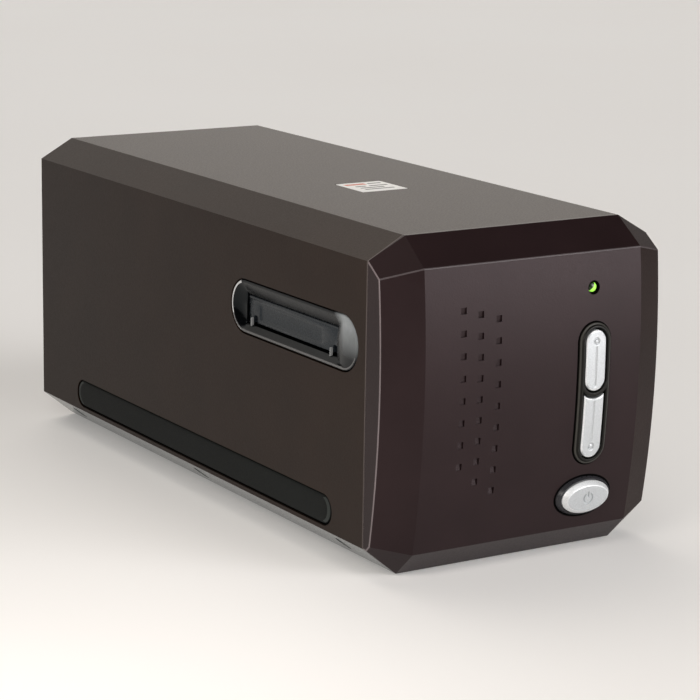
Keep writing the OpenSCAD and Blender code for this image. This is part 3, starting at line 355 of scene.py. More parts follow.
# Name, maker, and the maker's values in order and by name
MATERIALS = {name: maker(name, *values, **options) for name, maker, values, options in (
    # The record's slots
    # The shell's last colour is a painted highlight along its edge at the seam
    ("shell_brown", moulded, ((0.0170, 0.0092, 0.0060), 0.38),
     {"specular": 0.15, "tint": (1.0, 0.84, 0.76), "seam_highlight": (0.105, 0.088, 0.084)}),
    ("bezel_brown", moulded, ((0.0165, 0.0090, 0.0096), 0.36),
     {"specular": 0.21, "tint": (1.0, 0.86, 0.88)}),
    ("rubber", rubber_like, ((0.0052, 0.0068, 0.0064),), {}),
    ("gloss_black", glossy, ((0.0024, 0.0028, 0.0034), 0.17, 0.2), {}),
    ("button_silver", silver_paint, ((0.575, 0.600, 0.615),), {}),
    ("light_guide", light_guide, (), {}),
    ("label", label_film, (), {}),
    ("circuit_board", board, ((0.010, 0.085, 0.035),), {}),
    ("black_plastic", moulded, ((0.012, 0.012, 0.0125), 0.5, 1100.0), {}),
    ("steel", metal, ((0.56, 0.57, 0.58), 0.28), {"stretch": (1.0, 0.06, 1.0)}),
    ("zinc_sheet", metal, ((0.50, 0.51, 0.52), 0.4), {"spangled": True}),
    ("brass", metal, ((0.66, 0.50, 0.26), 0.3), {}),
    ("white_plastic", moulded, ((0.72, 0.70, 0.64), 0.42), {"vary": 0.04}),
    ("mirror_glass", metal, ((0.86, 0.88, 0.89), 0.09), {}),
    # Finishes of single pieces and of their edges; the lighter edge, rim and stop colours paint
    # highlights, and shadow_black paints shade
    ("bezel_matt", moulded, ((0.0165, 0.0090, 0.0080), 0.42),
     {"specular": 0.07, "tint": (1.0, 0.88, 0.82)}),
    # Lighter copies of the bezel colour that paint highlights on its creases
    ("bezel_edge_highlight", moulded, ((0.175, 0.145, 0.150), 0.3), {"specular": 0.4}),
    ("faint_edge_highlight", moulded, ((0.072, 0.058, 0.060), 0.3), {"specular": 0.3}),
    # A light grey that paints the floor's reflection along the tray's chamfer
    ("tray_painted_reflection", moulded, ((0.150, 0.160, 0.160), 0.22, 1100.0), {"specular": 0.9}),
    ("door_black", moulded, ((0.0120, 0.0150, 0.0190), 0.26, 1300.0),
     {"specular": 0.3, "tint": (0.82, 0.93, 1.0)}),
    ("surround", moulded, ((0.0065, 0.0060, 0.0046), 0.36, 1100.0), {"specular": 0.2}),
    # Painted highlight for the surround's outer roll
    ("surround_edge_highlight", moulded, ((0.042, 0.040, 0.034), 0.34, 1100.0), {"specular": 0.3}),
    ("skirt", moulded, ((0.030, 0.030, 0.034), 0.3, 1100.0), {"specular": 0.45}),
    # A near-white copy of the silver that paints highlights on the buttons' bevels
    ("silver_edge_highlight", silver_paint, ((0.93, 0.95, 0.96),), {}),
    # Painted highlights for the slots' lower lip and rear arc
    ("slot_lip_highlight", moulded, ((0.115, 0.115, 0.118), 0.22, 1100.0), {"specular": 0.4}),
    ("rear_rim_highlight", moulded, ((0.66, 0.67, 0.68), 0.2, 1100.0), {}),
    # Painted glint for the door stops
    ("stop_glint", moulded, ((0.30, 0.31, 0.32), 0.2, 1100.0), {}),
    # Painted highlight for the strips' rolled ends
    ("rubber_end_highlight", rubber_like, ((0.040, 0.046, 0.044), 0.5), {}),
    # Near-black that paints shade in gaps, grooves and holes
    ("shadow_black", rubber_like, ((0.0012, 0.0012, 0.0012), 0.85, 0.03), {}),
)}

# ---- Mesh helpers ----


def place(name, verts, faces, slot, body, nodes=(), material=None):
    """A piece from points in millimetres."""
    mesh = bpy.data.meshes.new(name)
    mesh.from_pydata([Vector(v) * MM for v in verts], [], faces)
    bm = bmesh.new()
    bm.from_mesh(mesh)
    bmesh.ops.remove_doubles(bm, verts=bm.verts, dist=1e-7)
    bmesh.ops.recalc_face_normals(bm, faces=bm.faces)
    bm.to_mesh(mesh)
    bm.free()
    mesh.materials.append(MATERIALS[material or slot])
    mesh.shade_smooth()
    obj = bpy.data.objects.new(name, mesh)
    scene.collection.objects.link(obj)
    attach(obj, body)
    if nodes:
        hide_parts(*nodes)
    return obj


def settle(obj):
    """Turns an object's modifiers into plain mesh."""
    bpy.context.view_layer.update()
    graph = bpy.context.evaluated_depsgraph_get()
    old = obj.data
    mesh = bpy.data.meshes.new_from_object(obj.evaluated_get(graph),
                                           preserve_all_data_layers=True, depsgraph=graph)
    obj.modifiers.clear()
    obj.data = mesh
    name = old.name
    bpy.data.meshes.remove(old)
    mesh.name = name


def crisp(obj, angle):
    """Keeps the edges sharper than the angle crisp under smooth shading."""
    bm = bmesh.new()
    bm.from_mesh(obj.data)
    for e in bm.edges:
        e.smooth = len(e.link_faces) != 2 or e.calc_face_angle(0.0) < math.radians(angle)
    bm.to_mesh(obj.data)
    bm.free()


def rounded(obj, width, angle=14.0, chosen=None):
    """Rounds the edges sharper than the angle, or the chosen ones of them.

    With chosen edges, their rounding takes the object's second material.
    """
    bevel = obj.modifiers.new("edges", "BEVEL")
    bevel.width = width * MM
    bevel.segments = 2
    bevel.limit_method = "ANGLE"
    bevel.angle_limit = math.radians(angle)
    bevel.miter_outer = "MITER_ARC"
    if not chosen:
        obj.modifiers.new("normals", "WEIGHTED_NORMAL").weight = 60
        settle(obj)
        return
    bm = bmesh.new()
    bm.from_mesh(obj.data)
    weight = bm.edges.layers.float.new("bevel_weight_edge")
    for e in bm.edges:
        sharp = len(e.link_faces) == 2 and e.calc_face_angle(0.0) > math.radians(angle)
        e[weight] = float(sharp and chosen(e.verts[0].co / MM, e.verts[1].co / MM))
    bm.to_mesh(obj.data)
    bm.free()
    bevel.limit_method = "WEIGHT"
    bevel.use_clamp_overlap = False
    bevel.material = 1
    settle(obj)
    crisp(obj, 12)


def finish_where(obj, material, test, among=0):
    """Gives a material to the faces whose middle, in millimetres, and normal pass a test."""
    obj.data.materials.append(MATERIALS[material])
    index = len(obj.data.materials) - 1
    for face in obj.data.polygons:
        if face.material_index == among and test(face.center / MM, face.normal):
            face.material_index = index


def refined(node, name, width, finish=None, chosen=None, edge=None):
    """A copy of a CAD node with rounded edges, which stands for the node."""
    bm = bmesh.new()
    bm.from_mesh(frame["nodes"][node].data)
    bmesh.ops.remove_doubles(bm, verts=bm.verts, dist=2e-6)
    bmesh.ops.dissolve_limit(bm, angle_limit=math.radians(0.2), verts=bm.verts, edges=bm.edges)
    bm.verts.ensure_lookup_table()
    bm.verts.index_update()
    verts = [v.co / MM for v in bm.verts]
    faces = [[v.index for v in f.verts] for f in bm.faces]
    bm.free()
    obj = place(name, verts, faces, SLOT_OF[node], BODY_OF[node], (node,), finish)
    if edge:
        obj.data.materials.append(MATERIALS[edge])
    rounded(obj, width, chosen=chosen)
    return obj


def loft(loops, cap_first=False, cap_last=False):
    """Faces between closed loops that have the same number of points."""
    n = len(loops[0])
    verts = [p for loop in loops for p in loop]
    faces = [(k * n + i, k * n + (i + 1) % n, (k + 1) * n + (i + 1) % n, (k + 1) * n + i)
             for k in range(len(loops) - 1) for i in range(n)]
    if cap_first:
        faces.append(tuple(range(n)))
    if cap_last:
        faces.append(tuple(range((len(loops) - 1) * n, len(loops) * n)))
    return verts, faces


def solid(loops):
    """A loft that is closed at both ends."""
    return loft(loops, cap_first=True, cap_last=True)


def merged(*parts):
    """Joins lists of points and faces."""
    verts, faces = [], []
    for v, f in parts:
        faces += [tuple(i + len(verts) for i in face) for face in f]
        verts += v
    return verts, faces


def tube(cx, cz, profile, n):
    """Turned shape about an axis along Y; profile holds radius and Y."""
    turns = [2 * math.pi * i / n for i in range(n)]
    return loft([[(cx + r * math.cos(t), y, cz + r * math.sin(t)) for t in turns]
                 for r, y in profile])


def lerp(a, b, t):
    return a + (b - a) * t


def stadium(cu, cv, w, h, n):
    """Outline of a stadium that lies along u: top, front arc, bottom, rear arc."""
    r = h / 2
    near, far = cu + w / 2 - r, cu - w / 2 + r
    turns = [math.pi * i / n for i in range(n)]
    points = [(lerp(near, far, i / n), cv + r) for i in range(n)]
    points += [(far - r * math.sin(t), cv + r * math.cos(t)) for t in turns]
    points += [(lerp(far, near, i / n), cv - r) for i in range(n)]
    points += [(near + r * math.sin(t), cv - r * math.cos(t)) for t in turns]
    return points


def rectangle(cu, cv, w, h, n):
    """Outline of a rectangle, with its points in the same order as a stadium's."""
    corners = ((1, 1), (-1, 1), (-1, -1), (1, -1), (1, 1))
    return [(cu + w / 2 * lerp(u0, u1, i / n), cv + h / 2 * lerp(v0, v1, i / n))
            for (u0, v0), (u1, v1) in zip(corners, corners[1:]) for i in range(n)]


def soft_box(u0, u1, v0, v1, r):
    """Outline of a rectangle with round corners."""
    points = []
    for cu, cv, start in ((u1 - r, v1 - r, 0), (u0 + r, v1 - r, 90),
                          (u0 + r, v0 + r, 180), (u1 - r, v0 + r, 270)):
        turns = [math.radians(start + 15 * k) for k in range(7)]
        points += [(cu + r * math.cos(t), cv + r * math.sin(t)) for t in turns]
    return points


def per_point(value, points):
    """One value for each point, from a list or from a single value."""
    return value if isinstance(value, (list, tuple)) else [value] * len(points)


def on_face(points, proud):
    """Points of X and Z laid on the curved face; proud may be one value or one for each."""
    return [(x, face_y(z) - p, z) for (x, z), p in zip(points, per_point(proud, points))]


def at_side(s, points, depth):
    """Points of Y and Z laid below a side of the body; depth may be one value or one for each."""
    return [(s * (HALF_W - d), u, v) for (u, v), d in zip(points, per_point(depth, points))]


def flat_fill(outer, holes):
    """Fills a flat outline around its holes."""
    points, edges = [], []
    for ring in [outer] + holes:
        start = len(points)
        points += ring
        edges += [(start + i, start + (i + 1) % len(ring)) for i in range(len(ring))]
    flat, _, faces, _, _, _ = geometry.delaunay_2d_cdt([Vector(p) for p in points], edges, [],
                                                       0, 1e-6)

    def inside(p, ring):
        odd = False
        for (x0, y0), (x1, y1) in zip(ring, ring[1:] + ring[:1]):
            if (y0 > p[1]) != (y1 > p[1]) and p[0] < (x1 - x0) * (p[1] - y0) / (y1 - y0) + x0:
                odd = not odd
        return odd

    kept = []
    for f in faces:
        c = [sum(flat[i][k] for i in f) / len(f) for k in (0, 1)]
        if inside(c, outer) and not any(inside(c, h) for h in holes):
            kept.append(tuple(f))
    return [tuple(p) for p in flat], kept


# ---- Casing, from the CAD nodes; nodes that stay get their slot's material ----

for node, obj in frame["nodes"].items():
    obj.data.materials.clear()
    obj.data.materials.append(MATERIALS[SLOT_OF[node]])

# The bezel's upper corner facets: where they start, and how fast they fall back
FACET_X, FACET_SLOPE = 45.0, 0.52


def crease(p, q):
    """The bezel's side creases, and those below its upper corner facets."""
    def on_side(v):
        return abs(v.x) > HALF_W - 0.1 and 11 < v.z < 112

    def on_facet(v):
        reach = abs(v.x) - FACET_X
        return reach > -0.1 and v.z > 106 and v.y < face_y(v.z) + reach * FACET_SLOPE + 0.3

    chosen = (on_side(p) and on_side(q)) or (on_facet(p) and on_facet(q))
    return chosen and max(p.y, q.y) < SEAM_Y + 0.1


refined("outer_shell", "shell", 0.3)
# The chosen creases' bevels take a lighter colour: a painted highlight, fainter away from the sides
bezel = refined("front_bezel", "bezel", 0.32, chosen=crease, edge="bezel_edge_highlight")
finish_where(bezel, "faint_edge_highlight", lambda p, n: abs(p.x) < HALF_W - 0.6, among=1)
finish_where(bezel, "bezel_matt", lambda p, n: n.x > 0.4 and n.y < -0.2 and abs(n.z) < 0.3)
# The tray's light grey is a painted reflection of the floor on its chamfer
refined("base_tray", "tray", 0.3, "tray_painted_reflection")
refined("rear_panel", "rear_cover", 0.25)
refined("rubber_feet", "feet", 0.5)
refined("usb_socket", "usb_shell", 0.1)
refined("power_socket", "power_inlet", 0.15)
refined("lamp_diffuser", "lamp_cover", 0.15, "white_plastic")
screws = refined("base_screws", "casing_screws", 0.15)


def cross_recesses(obj):
    """Cuts a cross recess into the heads of the four rear screws."""
    top = max(v.co.y for v in obj.data.vertices) / MM
    above, depth = 0.3, 0.9
    mouth, root, w = 1.6, 1.0, 0.36

    def cross(cx, cz, y, reach):
        corners = ((reach, w), (w, w), (w, reach), (-w, reach), (-w, w), (-reach, w),
                   (-reach, -w), (-w, -w), (-w, -reach), (w, -reach), (w, -w), (reach, -w))
        return [(cx + u, y, cz + v) for u, v in corners]

    verts, faces = merged(*[solid([cross(x, z, top + above, mouth), cross(x, z, top - depth, root)])
                            for x in (-REAR_SCREW_X, REAR_SCREW_X) for z in REAR_SCREW_ZS])
    mesh = bpy.data.meshes.new("recess")
    mesh.from_pydata([[c * MM for c in v] for v in verts], [], faces)
    bm = bmesh.new()
    bm.from_mesh(mesh)
    bmesh.ops.recalc_face_normals(bm, faces=bm.faces)
    bm.to_mesh(mesh)
    bm.free()
    cutter = bpy.data.objects.new("recess", mesh)
    scene.collection.objects.link(cutter)
    cut = obj.modifiers.new("recess", "BOOLEAN")
    cut.operation = "DIFFERENCE"
    cut.object = cutter
    cut.solver = "EXACT"
    settle(obj)
    bpy.data.objects.remove(cutter)
    bpy.data.meshes.remove(mesh)
    crisp(obj, 25)


cross_recesses(screws)

# ---- Scan buttons and the rim around them ----


def upper_loop(grow):
    """The upper button's outline."""
    mid = (UPPER_TOP_Z + UPPER_LOW_Z) / 2
    return [(x, z) for z, x in stadium(mid, SCAN_X, UPPER_TOP_Z - UPPER_LOW_Z + 2 * grow,
                                       SCAN_W + 2 * grow, BUTTON_POINTS)]


def lower_loop(grow):
    """The lower button's outline: round at the bottom, hollowed at the top."""
    half = SCAN_W / 2 + grow
    hollow = NOTCH_R - grow
    round_z = LOWER_LOW_Z + SCAN_W / 2
    reach = math.asin(half / hollow)
    corner_z = NOTCH_Z - hollow * math.cos(reach)
    parts = [i / BUTTON_POINTS for i in range(BUTTON_POINTS)]
    turns = [math.pi * i / BUTTON_POINTS for i in range(BUTTON_POINTS)]
    swings = [lerp(-reach, reach, t) for t in parts]
    points = [(SCAN_X + half, lerp(corner_z, round_z, t)) for t in parts]
    points += [(SCAN_X + half * math.cos(t), round_z - half * math.sin(t)) for t in turns]
    points += [(SCAN_X - half, lerp(round_z, corner_z, t)) for t in parts]
    points += [(SCAN_X + hollow * math.sin(t), NOTCH_Z - hollow * math.cos(t)) for t in swings]
    return points


def dip(distance, width):
    """A soft hollow: 1 in its middle, 0 away from it."""
    return math.exp(-(distance / width) ** 2)


def stem(x, z, back):
    """The pin behind a button, which reaches its switch."""
    return tube(x, z, [(CLOSED, back), (STEM_R, back), (STEM_R, SWITCH_Y), (CLOSED, SWITCH_Y)], 20)


def scan_button(name, node, outline, dimple_z, groove, spine):
    """A cap with a ring-shaped dimple and a groove, with its plate and stem.

    groove and spine are low and high Z; the cap's loops shrink onto the spine.
    """
    def proud(x, z):
        crown = 0.16 * ((x - SCAN_X) / 4.2) ** 2
        dimple = 0.42 * dip(math.hypot(x - SCAN_X, z - dimple_z) - 0.95, 0.28)
        p = BUTTON_TOP - crown - dimple
        if groove[0] < z < groove[1]:
            fade = min(1.0, (z - groove[0]) / 0.8, (groove[1] - z) / 0.8)
            p -= 0.26 * fade * dip(x - SCAN_X, 0.3)
        return p

    loops = [on_face(outline(0), -5.8), on_face(outline(0), 1.02)]
    for grow, sink in ((-0.05, 0.3), (-0.15, 0.19), (-0.42, 0.03), (-0.52, 0.0)):
        edge = outline(grow)
        loops.append(on_face(edge, [proud(x, z) - sink for x, z in edge]))
    core = [(SCAN_X, min(max(z, spine[0]), spine[1])) for x, z in edge]
    steps = 24
    for k in range(1, steps + 1):
        ring = [(lerp(x, cx, k / steps), lerp(z, cz, k / steps))
                for (x, z), (cx, cz) in zip(edge, core)]
        loops.append(on_face(ring, [proud(x, z) for x, z in ring]))
    cap = loft(loops, cap_first=True)

    heights = [z for _, z in outline(0)]
    mid = (min(heights) + max(heights)) / 2
    collar = [(SCAN_X + dx, mid + dz) for dx, dz in ((-6, -9), (6, -9), (6, 9), (-6, 9))]
    plate = solid([on_face(collar, -4.8), on_face(collar, -5.9)])
    pin = stem(SCAN_X, mid, face_y(mid) + 5)
    obj = place(name, *merged(cap, plate, pin), "button_silver", BODY_OF[node], (node,))

    ends = [z for _, z in outline(-0.56)]
    low, high = min(ends) + 0.6, max(ends) - 0.6

    def on_edge(p, n):
        outer = abs(p.x - SCAN_X) > 3.55 or not low < p.z < high
        return outer and face_y(p.z) - p.y > 1.0 and -0.985 < n.y < -0.1

    # Painted highlight: the cap's bevelled rim is coloured near white
    finish_where(obj, "silver_edge_highlight", on_edge)
    crisp(obj, 50)


scan_button("upper_button", "upper_scan_button", upper_loop, UPPER_TOP_Z - 4.1,
            (UPPER_LOW_Z + 1.2, UPPER_TOP_Z - 5.6), (UPPER_LOW_Z + 4.2, UPPER_TOP_Z - 4.2))
scan_button("lower_button", "lower_scan_button", lower_loop, LOWER_LOW_Z + 4.0,
            (LOWER_LOW_Z + 5.5, 57.6), (LOWER_LOW_Z + 4.2, 55.5))


def frame_loop(half):
    """The rim's outline at half its width."""
    return [(x, z) for z, x in stadium(FRAME_Z, SCAN_X, FRAME_H - FRAME_W + 2 * half, 2 * half,
                                       BUTTON_POINTS)]


def shadow_ring(name, node, loops):
    """Painted shadow: a black ring around a piece, where it meets the casing."""
    place(name, *loft(loops), "black_plastic", BODY_OF[node], material="shadow_black")


def button_surround():
    """The rounded rim around both scan buttons."""
    skirt = ((6.7, -0.4), (6.7, 0.36), (6.64, 0.56), (6.5, 0.68), (6.28, 0.74), (6.02, 0.86),
             (5.88, 1.02), (5.8, 1.2), (5.7, 1.33), (5.56, FRAME_TOP))
    lip = ((0.98, FRAME_TOP), (0.84, 1.37), (0.75, 1.28), (BUTTON_GAP, 1.1), (BUTTON_GAP, -3.6))
    outside = loft([on_face(frame_loop(half), p) for half, p in skirt])
    points, faces = flat_fill(frame_loop(5.56), [upper_loop(0.98), lower_loop(0.98)])
    crown = on_face(points, FRAME_TOP), faces
    lips = [loft([on_face(loop(g), p) for g, p in lip]) for loop in (upper_loop, lower_loop)]
    obj = place("button_surround", *merged(outside, crown, *lips), "gloss_black",
                BODY_OF["button_frame"], ("button_frame",), "surround")
    # Painted highlight: the rim's outer roll is coloured lighter
    finish_where(obj, "surround_edge_highlight", lambda p, n: 0.5 < face_y(p.z) - p.y < 0.82)
    crisp(obj, 45)
    # Painted shadow: a black ring where the rim meets the face
    shadow_ring("surround_shadow_ring", "button_frame",
         [on_face(frame_loop(half), p) for half, p in ((7.2, -0.3), (7.2, 0.02), (6.6, 0.04))])


button_surround()

# ---- Power button, collar and status light ----

POWER_TILT = math.asin((POWER_Z - FACE_Z) / FACE_R)
POWER_BASE = 1.9
MARK_FIELD = 2.9
MARK_DEPTH = 0.45


def oval(a, b, z_shift=0.0):
    """Outline of an ellipse about the power button's middle."""
    n = OVAL_POINTS
    return [(POWER_X + a * math.cos(2 * math.pi * i / n),
             POWER_Z + z_shift + b * math.sin(2 * math.pi * i / n)) for i in range(n)]


def power_mark(x, z):
    """How deep the power mark is engraved, from 0 to 1: an open ring with a bar in its gap."""
    ring_r, ring_half_w, gap_slope = 1.85, 0.3, 0.58
    bar_half_w, bar_z, bar_half_h = 0.28, 1.5, 1.0
    wall = 0.16
    ring = abs(math.hypot(x, z) - ring_r) - ring_half_w
    if z > 0 and abs(x) < gap_slope * z:
        ring = 1.0
    bar = max(abs(x) - bar_half_w, abs(z - bar_z) - bar_half_h)
    return min(max(0.5 - min(ring, bar) / wall, 0.0), 1.0)


def power_button():
    """The bevelled key with its engraved mark; it stands square to the face."""
    loops = []
    for inset, p in ((0, -3.9), (0, 2.0), (0.03, 2.14), (0.12, 2.26), (1.16, 3.42), (1.28, 3.54),
                     (1.42, 3.64), (1.5, POWER_TOP)):
        shift = (p - POWER_BASE) * math.sin(POWER_TILT) if p > POWER_BASE else 0.0
        loops.append(on_face(oval(POWER_A - inset, POWER_B - inset, shift), p))
    lift = (POWER_TOP - POWER_BASE) * math.sin(POWER_TILT)
    steps = 8
    for k in range(1, steps + 1):
        t = k / steps
        ring = oval(lerp(POWER_A - 1.5, MARK_FIELD, t), lerp(POWER_B - 1.5, MARK_FIELD, t), lift)
        loops.append(on_face(ring, POWER_TOP + 0.02 * t))
    steps = 40
    for k in range(1, steps):
        r = MARK_FIELD * (1 - k / steps)
        ring = oval(r, r, lift)
        loops.append(on_face(ring, [
            POWER_TOP + 0.02 - MARK_DEPTH * power_mark(x - POWER_X, z - POWER_Z - lift)
            for x, z in ring]))
    key = merged(solid(loops), stem(POWER_X, POWER_Z, face_y(POWER_Z) + 3.9))
    obj = place("power_key", *key, "button_silver", BODY_OF["power_button"], ("power_button",))

    def on_bevel(p, n):
        outer = math.hypot(p.x - POWER_X, p.z - POWER_Z) > 4
        return outer and face_y(p.z) - p.y > 2.05 and n.y > -0.96

    # Painted highlight: the key's bevel is coloured near white
    finish_where(obj, "silver_edge_highlight", on_bevel)
    crisp(obj, 60)


power_button()


def power_collar():
    """The dark ring that the power button sinks into."""
    steps = ((11.6, 7.2, -1.2), (11.6, 7.2, 0.2), (11.52, 7.12, 0.42), (11.35, 6.98, 0.72),
             (11.06, 6.76, 1.3), (10.9, 6.64, 1.62), (10.78, 6.55, 1.78), (10.66, 6.48, 1.8),
             (10.56, 6.42, 1.7), (10.52, 6.4, 1.4), (10.52, 6.4, -2.6))
    node = "power_button_collar"
    obj = place("power_skirt", *loft([on_face(oval(a, b), p) for a, b, p in steps]),
                "gloss_black", BODY_OF[node], (node,), "skirt")
    crisp(obj, 50)
    # Painted shadow: a black ring around the collar's foot
    shadow_ring("skirt_shadow_ring", node, [on_face(oval(a, b), p) for a, b, p in
                              ((12.4, 7.95, -0.3), (12.4, 7.95, 0.02), (11.4, 7.0, 0.04))])


power_collar()


def status_light():
    """The domed end of the light pipe, in a sleeve of painted shade over the hole's wall."""
    y = face_y(LED_Z)
    node = "led_light_pipe"
    turns = [math.pi / 20 * k for k in range(11)]
    profile = [(max(1.72 * math.sin(t), CLOSED), y + 0.35 + 0.8 * (1 - math.cos(t)))
               for t in turns]
    profile += [(1.72, y + 2.6), (2.44, y + 2.6), (2.44, y + 5.4), (1.9, y + 5.4),
                (1.9, y + 8.4), (CLOSED, y + 8.4)]
    lens = place("status_lens", *tube(LED_X, LED_Z, profile, 64), "light_guide", BODY_OF[node],
                 (node,))
    crisp(lens, 50)
    # Painted shade: a black sleeve lines the hole around the lens
    profile = [(2.47, y + 0.16), (2.34, y + 0.14), (1.95, y + 0.8), (1.78, y + 1.4),
               (1.78, y + 2.5), (2.47, y + 2.5), (2.47, y + 0.16)]
    sleeve = place("lens_shadow_sleeve", *tube(LED_X, LED_Z, profile, 64), "black_plastic",
                   BODY_OF[node], material="shadow_black")
    crisp(sleeve, 50)


status_light()

# ---- Film slots; s is -1 on the left and 1 on the right ----


def slot_bezel(s, name, node):
    """A slot's dish and door opening, its rim, and the flange behind the shell."""
    door_z = DOOR_LOW_Z + DOOR_H / 2
    end = SLOT_Y + (SLOT_L - SLOT_H) / 2

    def rim(inset, depth):
        return at_side(s, stadium(SLOT_Y, SLOT_Z, SLOT_L - 2 * inset, SLOT_H - 2 * inset,
                                  SLOT_POINTS), depth)

    def opening(inset, depth):
        return at_side(s, rectangle(DOOR_Y, door_z, DOOR_L - inset, DOOR_H - inset, SLOT_POINTS),
                       depth)

    def block(depth):
        return at_side(s, rectangle(DOOR_Y, SLOT_Z - 1, DOOR_L + 16, DOOR_H + 6.3, SLOT_POINTS),
                       depth)

    def dish_loop(t):
        """A loop of the dish, from its outer edge at 0 to the door opening at 1."""
        outer = stadium(SLOT_Y, SLOT_Z, SLOT_L - 2.8, SLOT_H - 2.8, SLOT_POINTS)
        inner = rectangle(DOOR_Y, door_z, DOOR_L, DOOR_H, SLOT_POINTS)
        points, depths = [], []
        for i, ((u0, v0), (u1, v1)) in enumerate(zip(outer, inner)):
            side, part = i // SLOT_POINTS, i % SLOT_POINTS / SLOT_POINTS
            swell = math.sin(math.pi * part)
            # The front arc falls late, as a scoop; the rear arc falls early, as a wall
            sink = (t, t ** (1 + 1.25 * swell), t, lerp(t, 1 - (1 - t) ** 2.2, swell ** 0.6))[side]
            upper = (1.0, max(0.0, 1 - 2.5 * part), 0.0, max(0.0, 2.5 * part - 1.5))[side]
            points.append((lerp(u0, u1, t), lerp(v0, v1, t)))
            depths.append(lerp(0.08, 2.2 + 0.5 * upper, sink))
        return at_side(s, points, depths)

    dish = [dish_loop(k / 14) for k in range(15)]
    loops = [block(BEZEL_BACK), opening(0, BEZEL_BACK), opening(0, 2.9),
             opening(0.02, OPENING_DEPTH)] + dish[::-1]
    loops += [rim(inset, depth) for inset, depth in
              ((1.1, 0.0), (0.84, 0.02), (0.6, 0.1), (0.44, 0.26), (0.36, 0.5),
               (0.36, FLANGE_FRONT), (-1.8, FLANGE_FRONT), (-1.8, FLANGE_BACK))]
    loops += [block(FLANGE_BACK), block(BEZEL_BACK)]
    obj = place(name, *loft(loops), "gloss_black", BODY_OF[node], (node,))

    def inset_of(p):
        """How far a point lies inside the slot's outline."""
        along = max(p.y - end, 2 * SLOT_Y - end - p.y, 0.0)
        return SLOT_H / 2 - math.hypot(along, p.z - SLOT_Z)

    def lower_lip(p, n):
        return 0.84 < inset_of(p) < 1.5 and p.z < SLOT_Z - 4 and abs(p.x) > HALF_W - 1.5

    def rear_arc(p, n):
        return 0.42 < inset_of(p) < 1.5 and p.y > end + 2.2 and abs(p.x) > HALF_W - 1.5

    # Painted highlights: the rim's lower lip and rear arc are coloured lighter
    finish_where(obj, "slot_lip_highlight", lower_lip)
    finish_where(obj, "rear_rim_highlight", rear_arc)
    crisp(obj, 32)


def slot_stop(s, name, y, depth):
    """A small tongue beside a notch in the door, coloured light grey as a painted glint."""
    outline = [(y + dy, STOP_LOW_Z + dz) for dy, dz in
               ((0, 0), (STOP_W, 0), (STOP_W, 2.7), (0.42, 3.05), (0.25, 3.2), (0.08, 3.05),
                (0, 2.7))]
    obj = place(name, *solid([at_side(s, outline, depth), at_side(s, outline, depth + STOP_T)]),
                "gloss_black", BODY_OF["left_slot_bezel"], material="stop_glint")
    rounded(obj, 0.1, 20)


slot_bezel(-1, "left_film_slot", "left_slot_bezel")
slot_bezel(1, "right_film_slot", "right_slot_bezel")
# The left door opens inward, so its stops stand before it; the right one's stand behind it
for k, (_, y) in enumerate(NOTCHES):
    slot_stop(-1, "left_slot_stop_%d" % k, y, 1.55)
    slot_stop(1, "right_slot_stop_%d" % k, y, 4.45)


def notched(inset):
    """The door's outline, with a notch near each end of its lower edge."""
    rear, front, low = LEAF_REAR_Y - inset, LEAF_FRONT_Y + inset, LEAF_LOW_Z + inset
    points = [(rear, LEAF_TOP_Z), (front, LEAF_TOP_Z), (front, low)]
    for y0, y1 in NOTCHES:
        a, b, roof = y0 - inset, y1 + inset, NOTCH_ROOF_Z + inset
        points += [(a, low), (a, roof - 0.5)]
        points += [((a + b) / 2 - (b - a) / 2 * math.cos(t), roof - 0.5 + 0.5 * math.sin(t))
                   for t in (math.pi * k / 8 for k in range(1, 8))]
        points += [(b, roof - 0.5), (b, low)]
    return points + [(rear, low)]


def door_leaf(s, name, node):
    """A door with its sunk panel; its upper edge is the barrel that turns on the pin."""
    def filled(outline, holes, depth):
        points, faces = flat_fill(outline, holes)
        return at_side(s, points, depth), faces

    def panel(inset):
        return soft_box(PANEL_Y0 + inset, PANEL_Y1 - inset, PANEL_Z0 + inset, PANEL_Z1 - inset,
                        1.3)

    front = filled(notched(0.16), [panel(0)], LEAF_DEPTH)
    back = filled(notched(0.0), [], LEAF_BACK)
    edge = loft([at_side(s, notched(inset), depth) for inset, depth in
                 ((0.16, LEAF_DEPTH), (0.05, 2.86), (0.0, 3.0), (0.0, LEAF_BACK))])
    sunk = loft([at_side(s, panel(inset), depth) for inset, depth in
                 ((0, LEAF_DEPTH), (0.16, 2.84), (0.74, 3.12), (0.9, PANEL_DEPTH))])
    floor = filled(panel(0.9), [], PANEL_DEPTH)
    arc = ((LEAF_TOP_Z, LEAF_DEPTH), (84.15, 2.86), (84.45, 3.06), (84.62, 3.36), (84.7, 3.8),
           (84.7, 4.3), (84.4, 5.0), (83.7, 5.38), (82.8, 5.25), (82.3, 4.8), (82.2, LEAF_BACK))
    barrel = solid([[(s * (HALF_W - d), y, z) for z, d in arc] for y in
                    (LEAF_FRONT_Y, LEAF_FRONT_Y + 0.1, LEAF_REAR_Y - 0.1, LEAF_REAR_Y)])
    obj = place(name, *merged(front, back, edge, sunk, floor, barrel), "gloss_black",
                BODY_OF[node], (node,), "door_black")
    crisp(obj, 35)


door_leaf(-1, "left_door_leaf", "left_dust_door")
door_leaf(1, "right_door_leaf", "right_dust_door")

# ---- Side strips and label ----


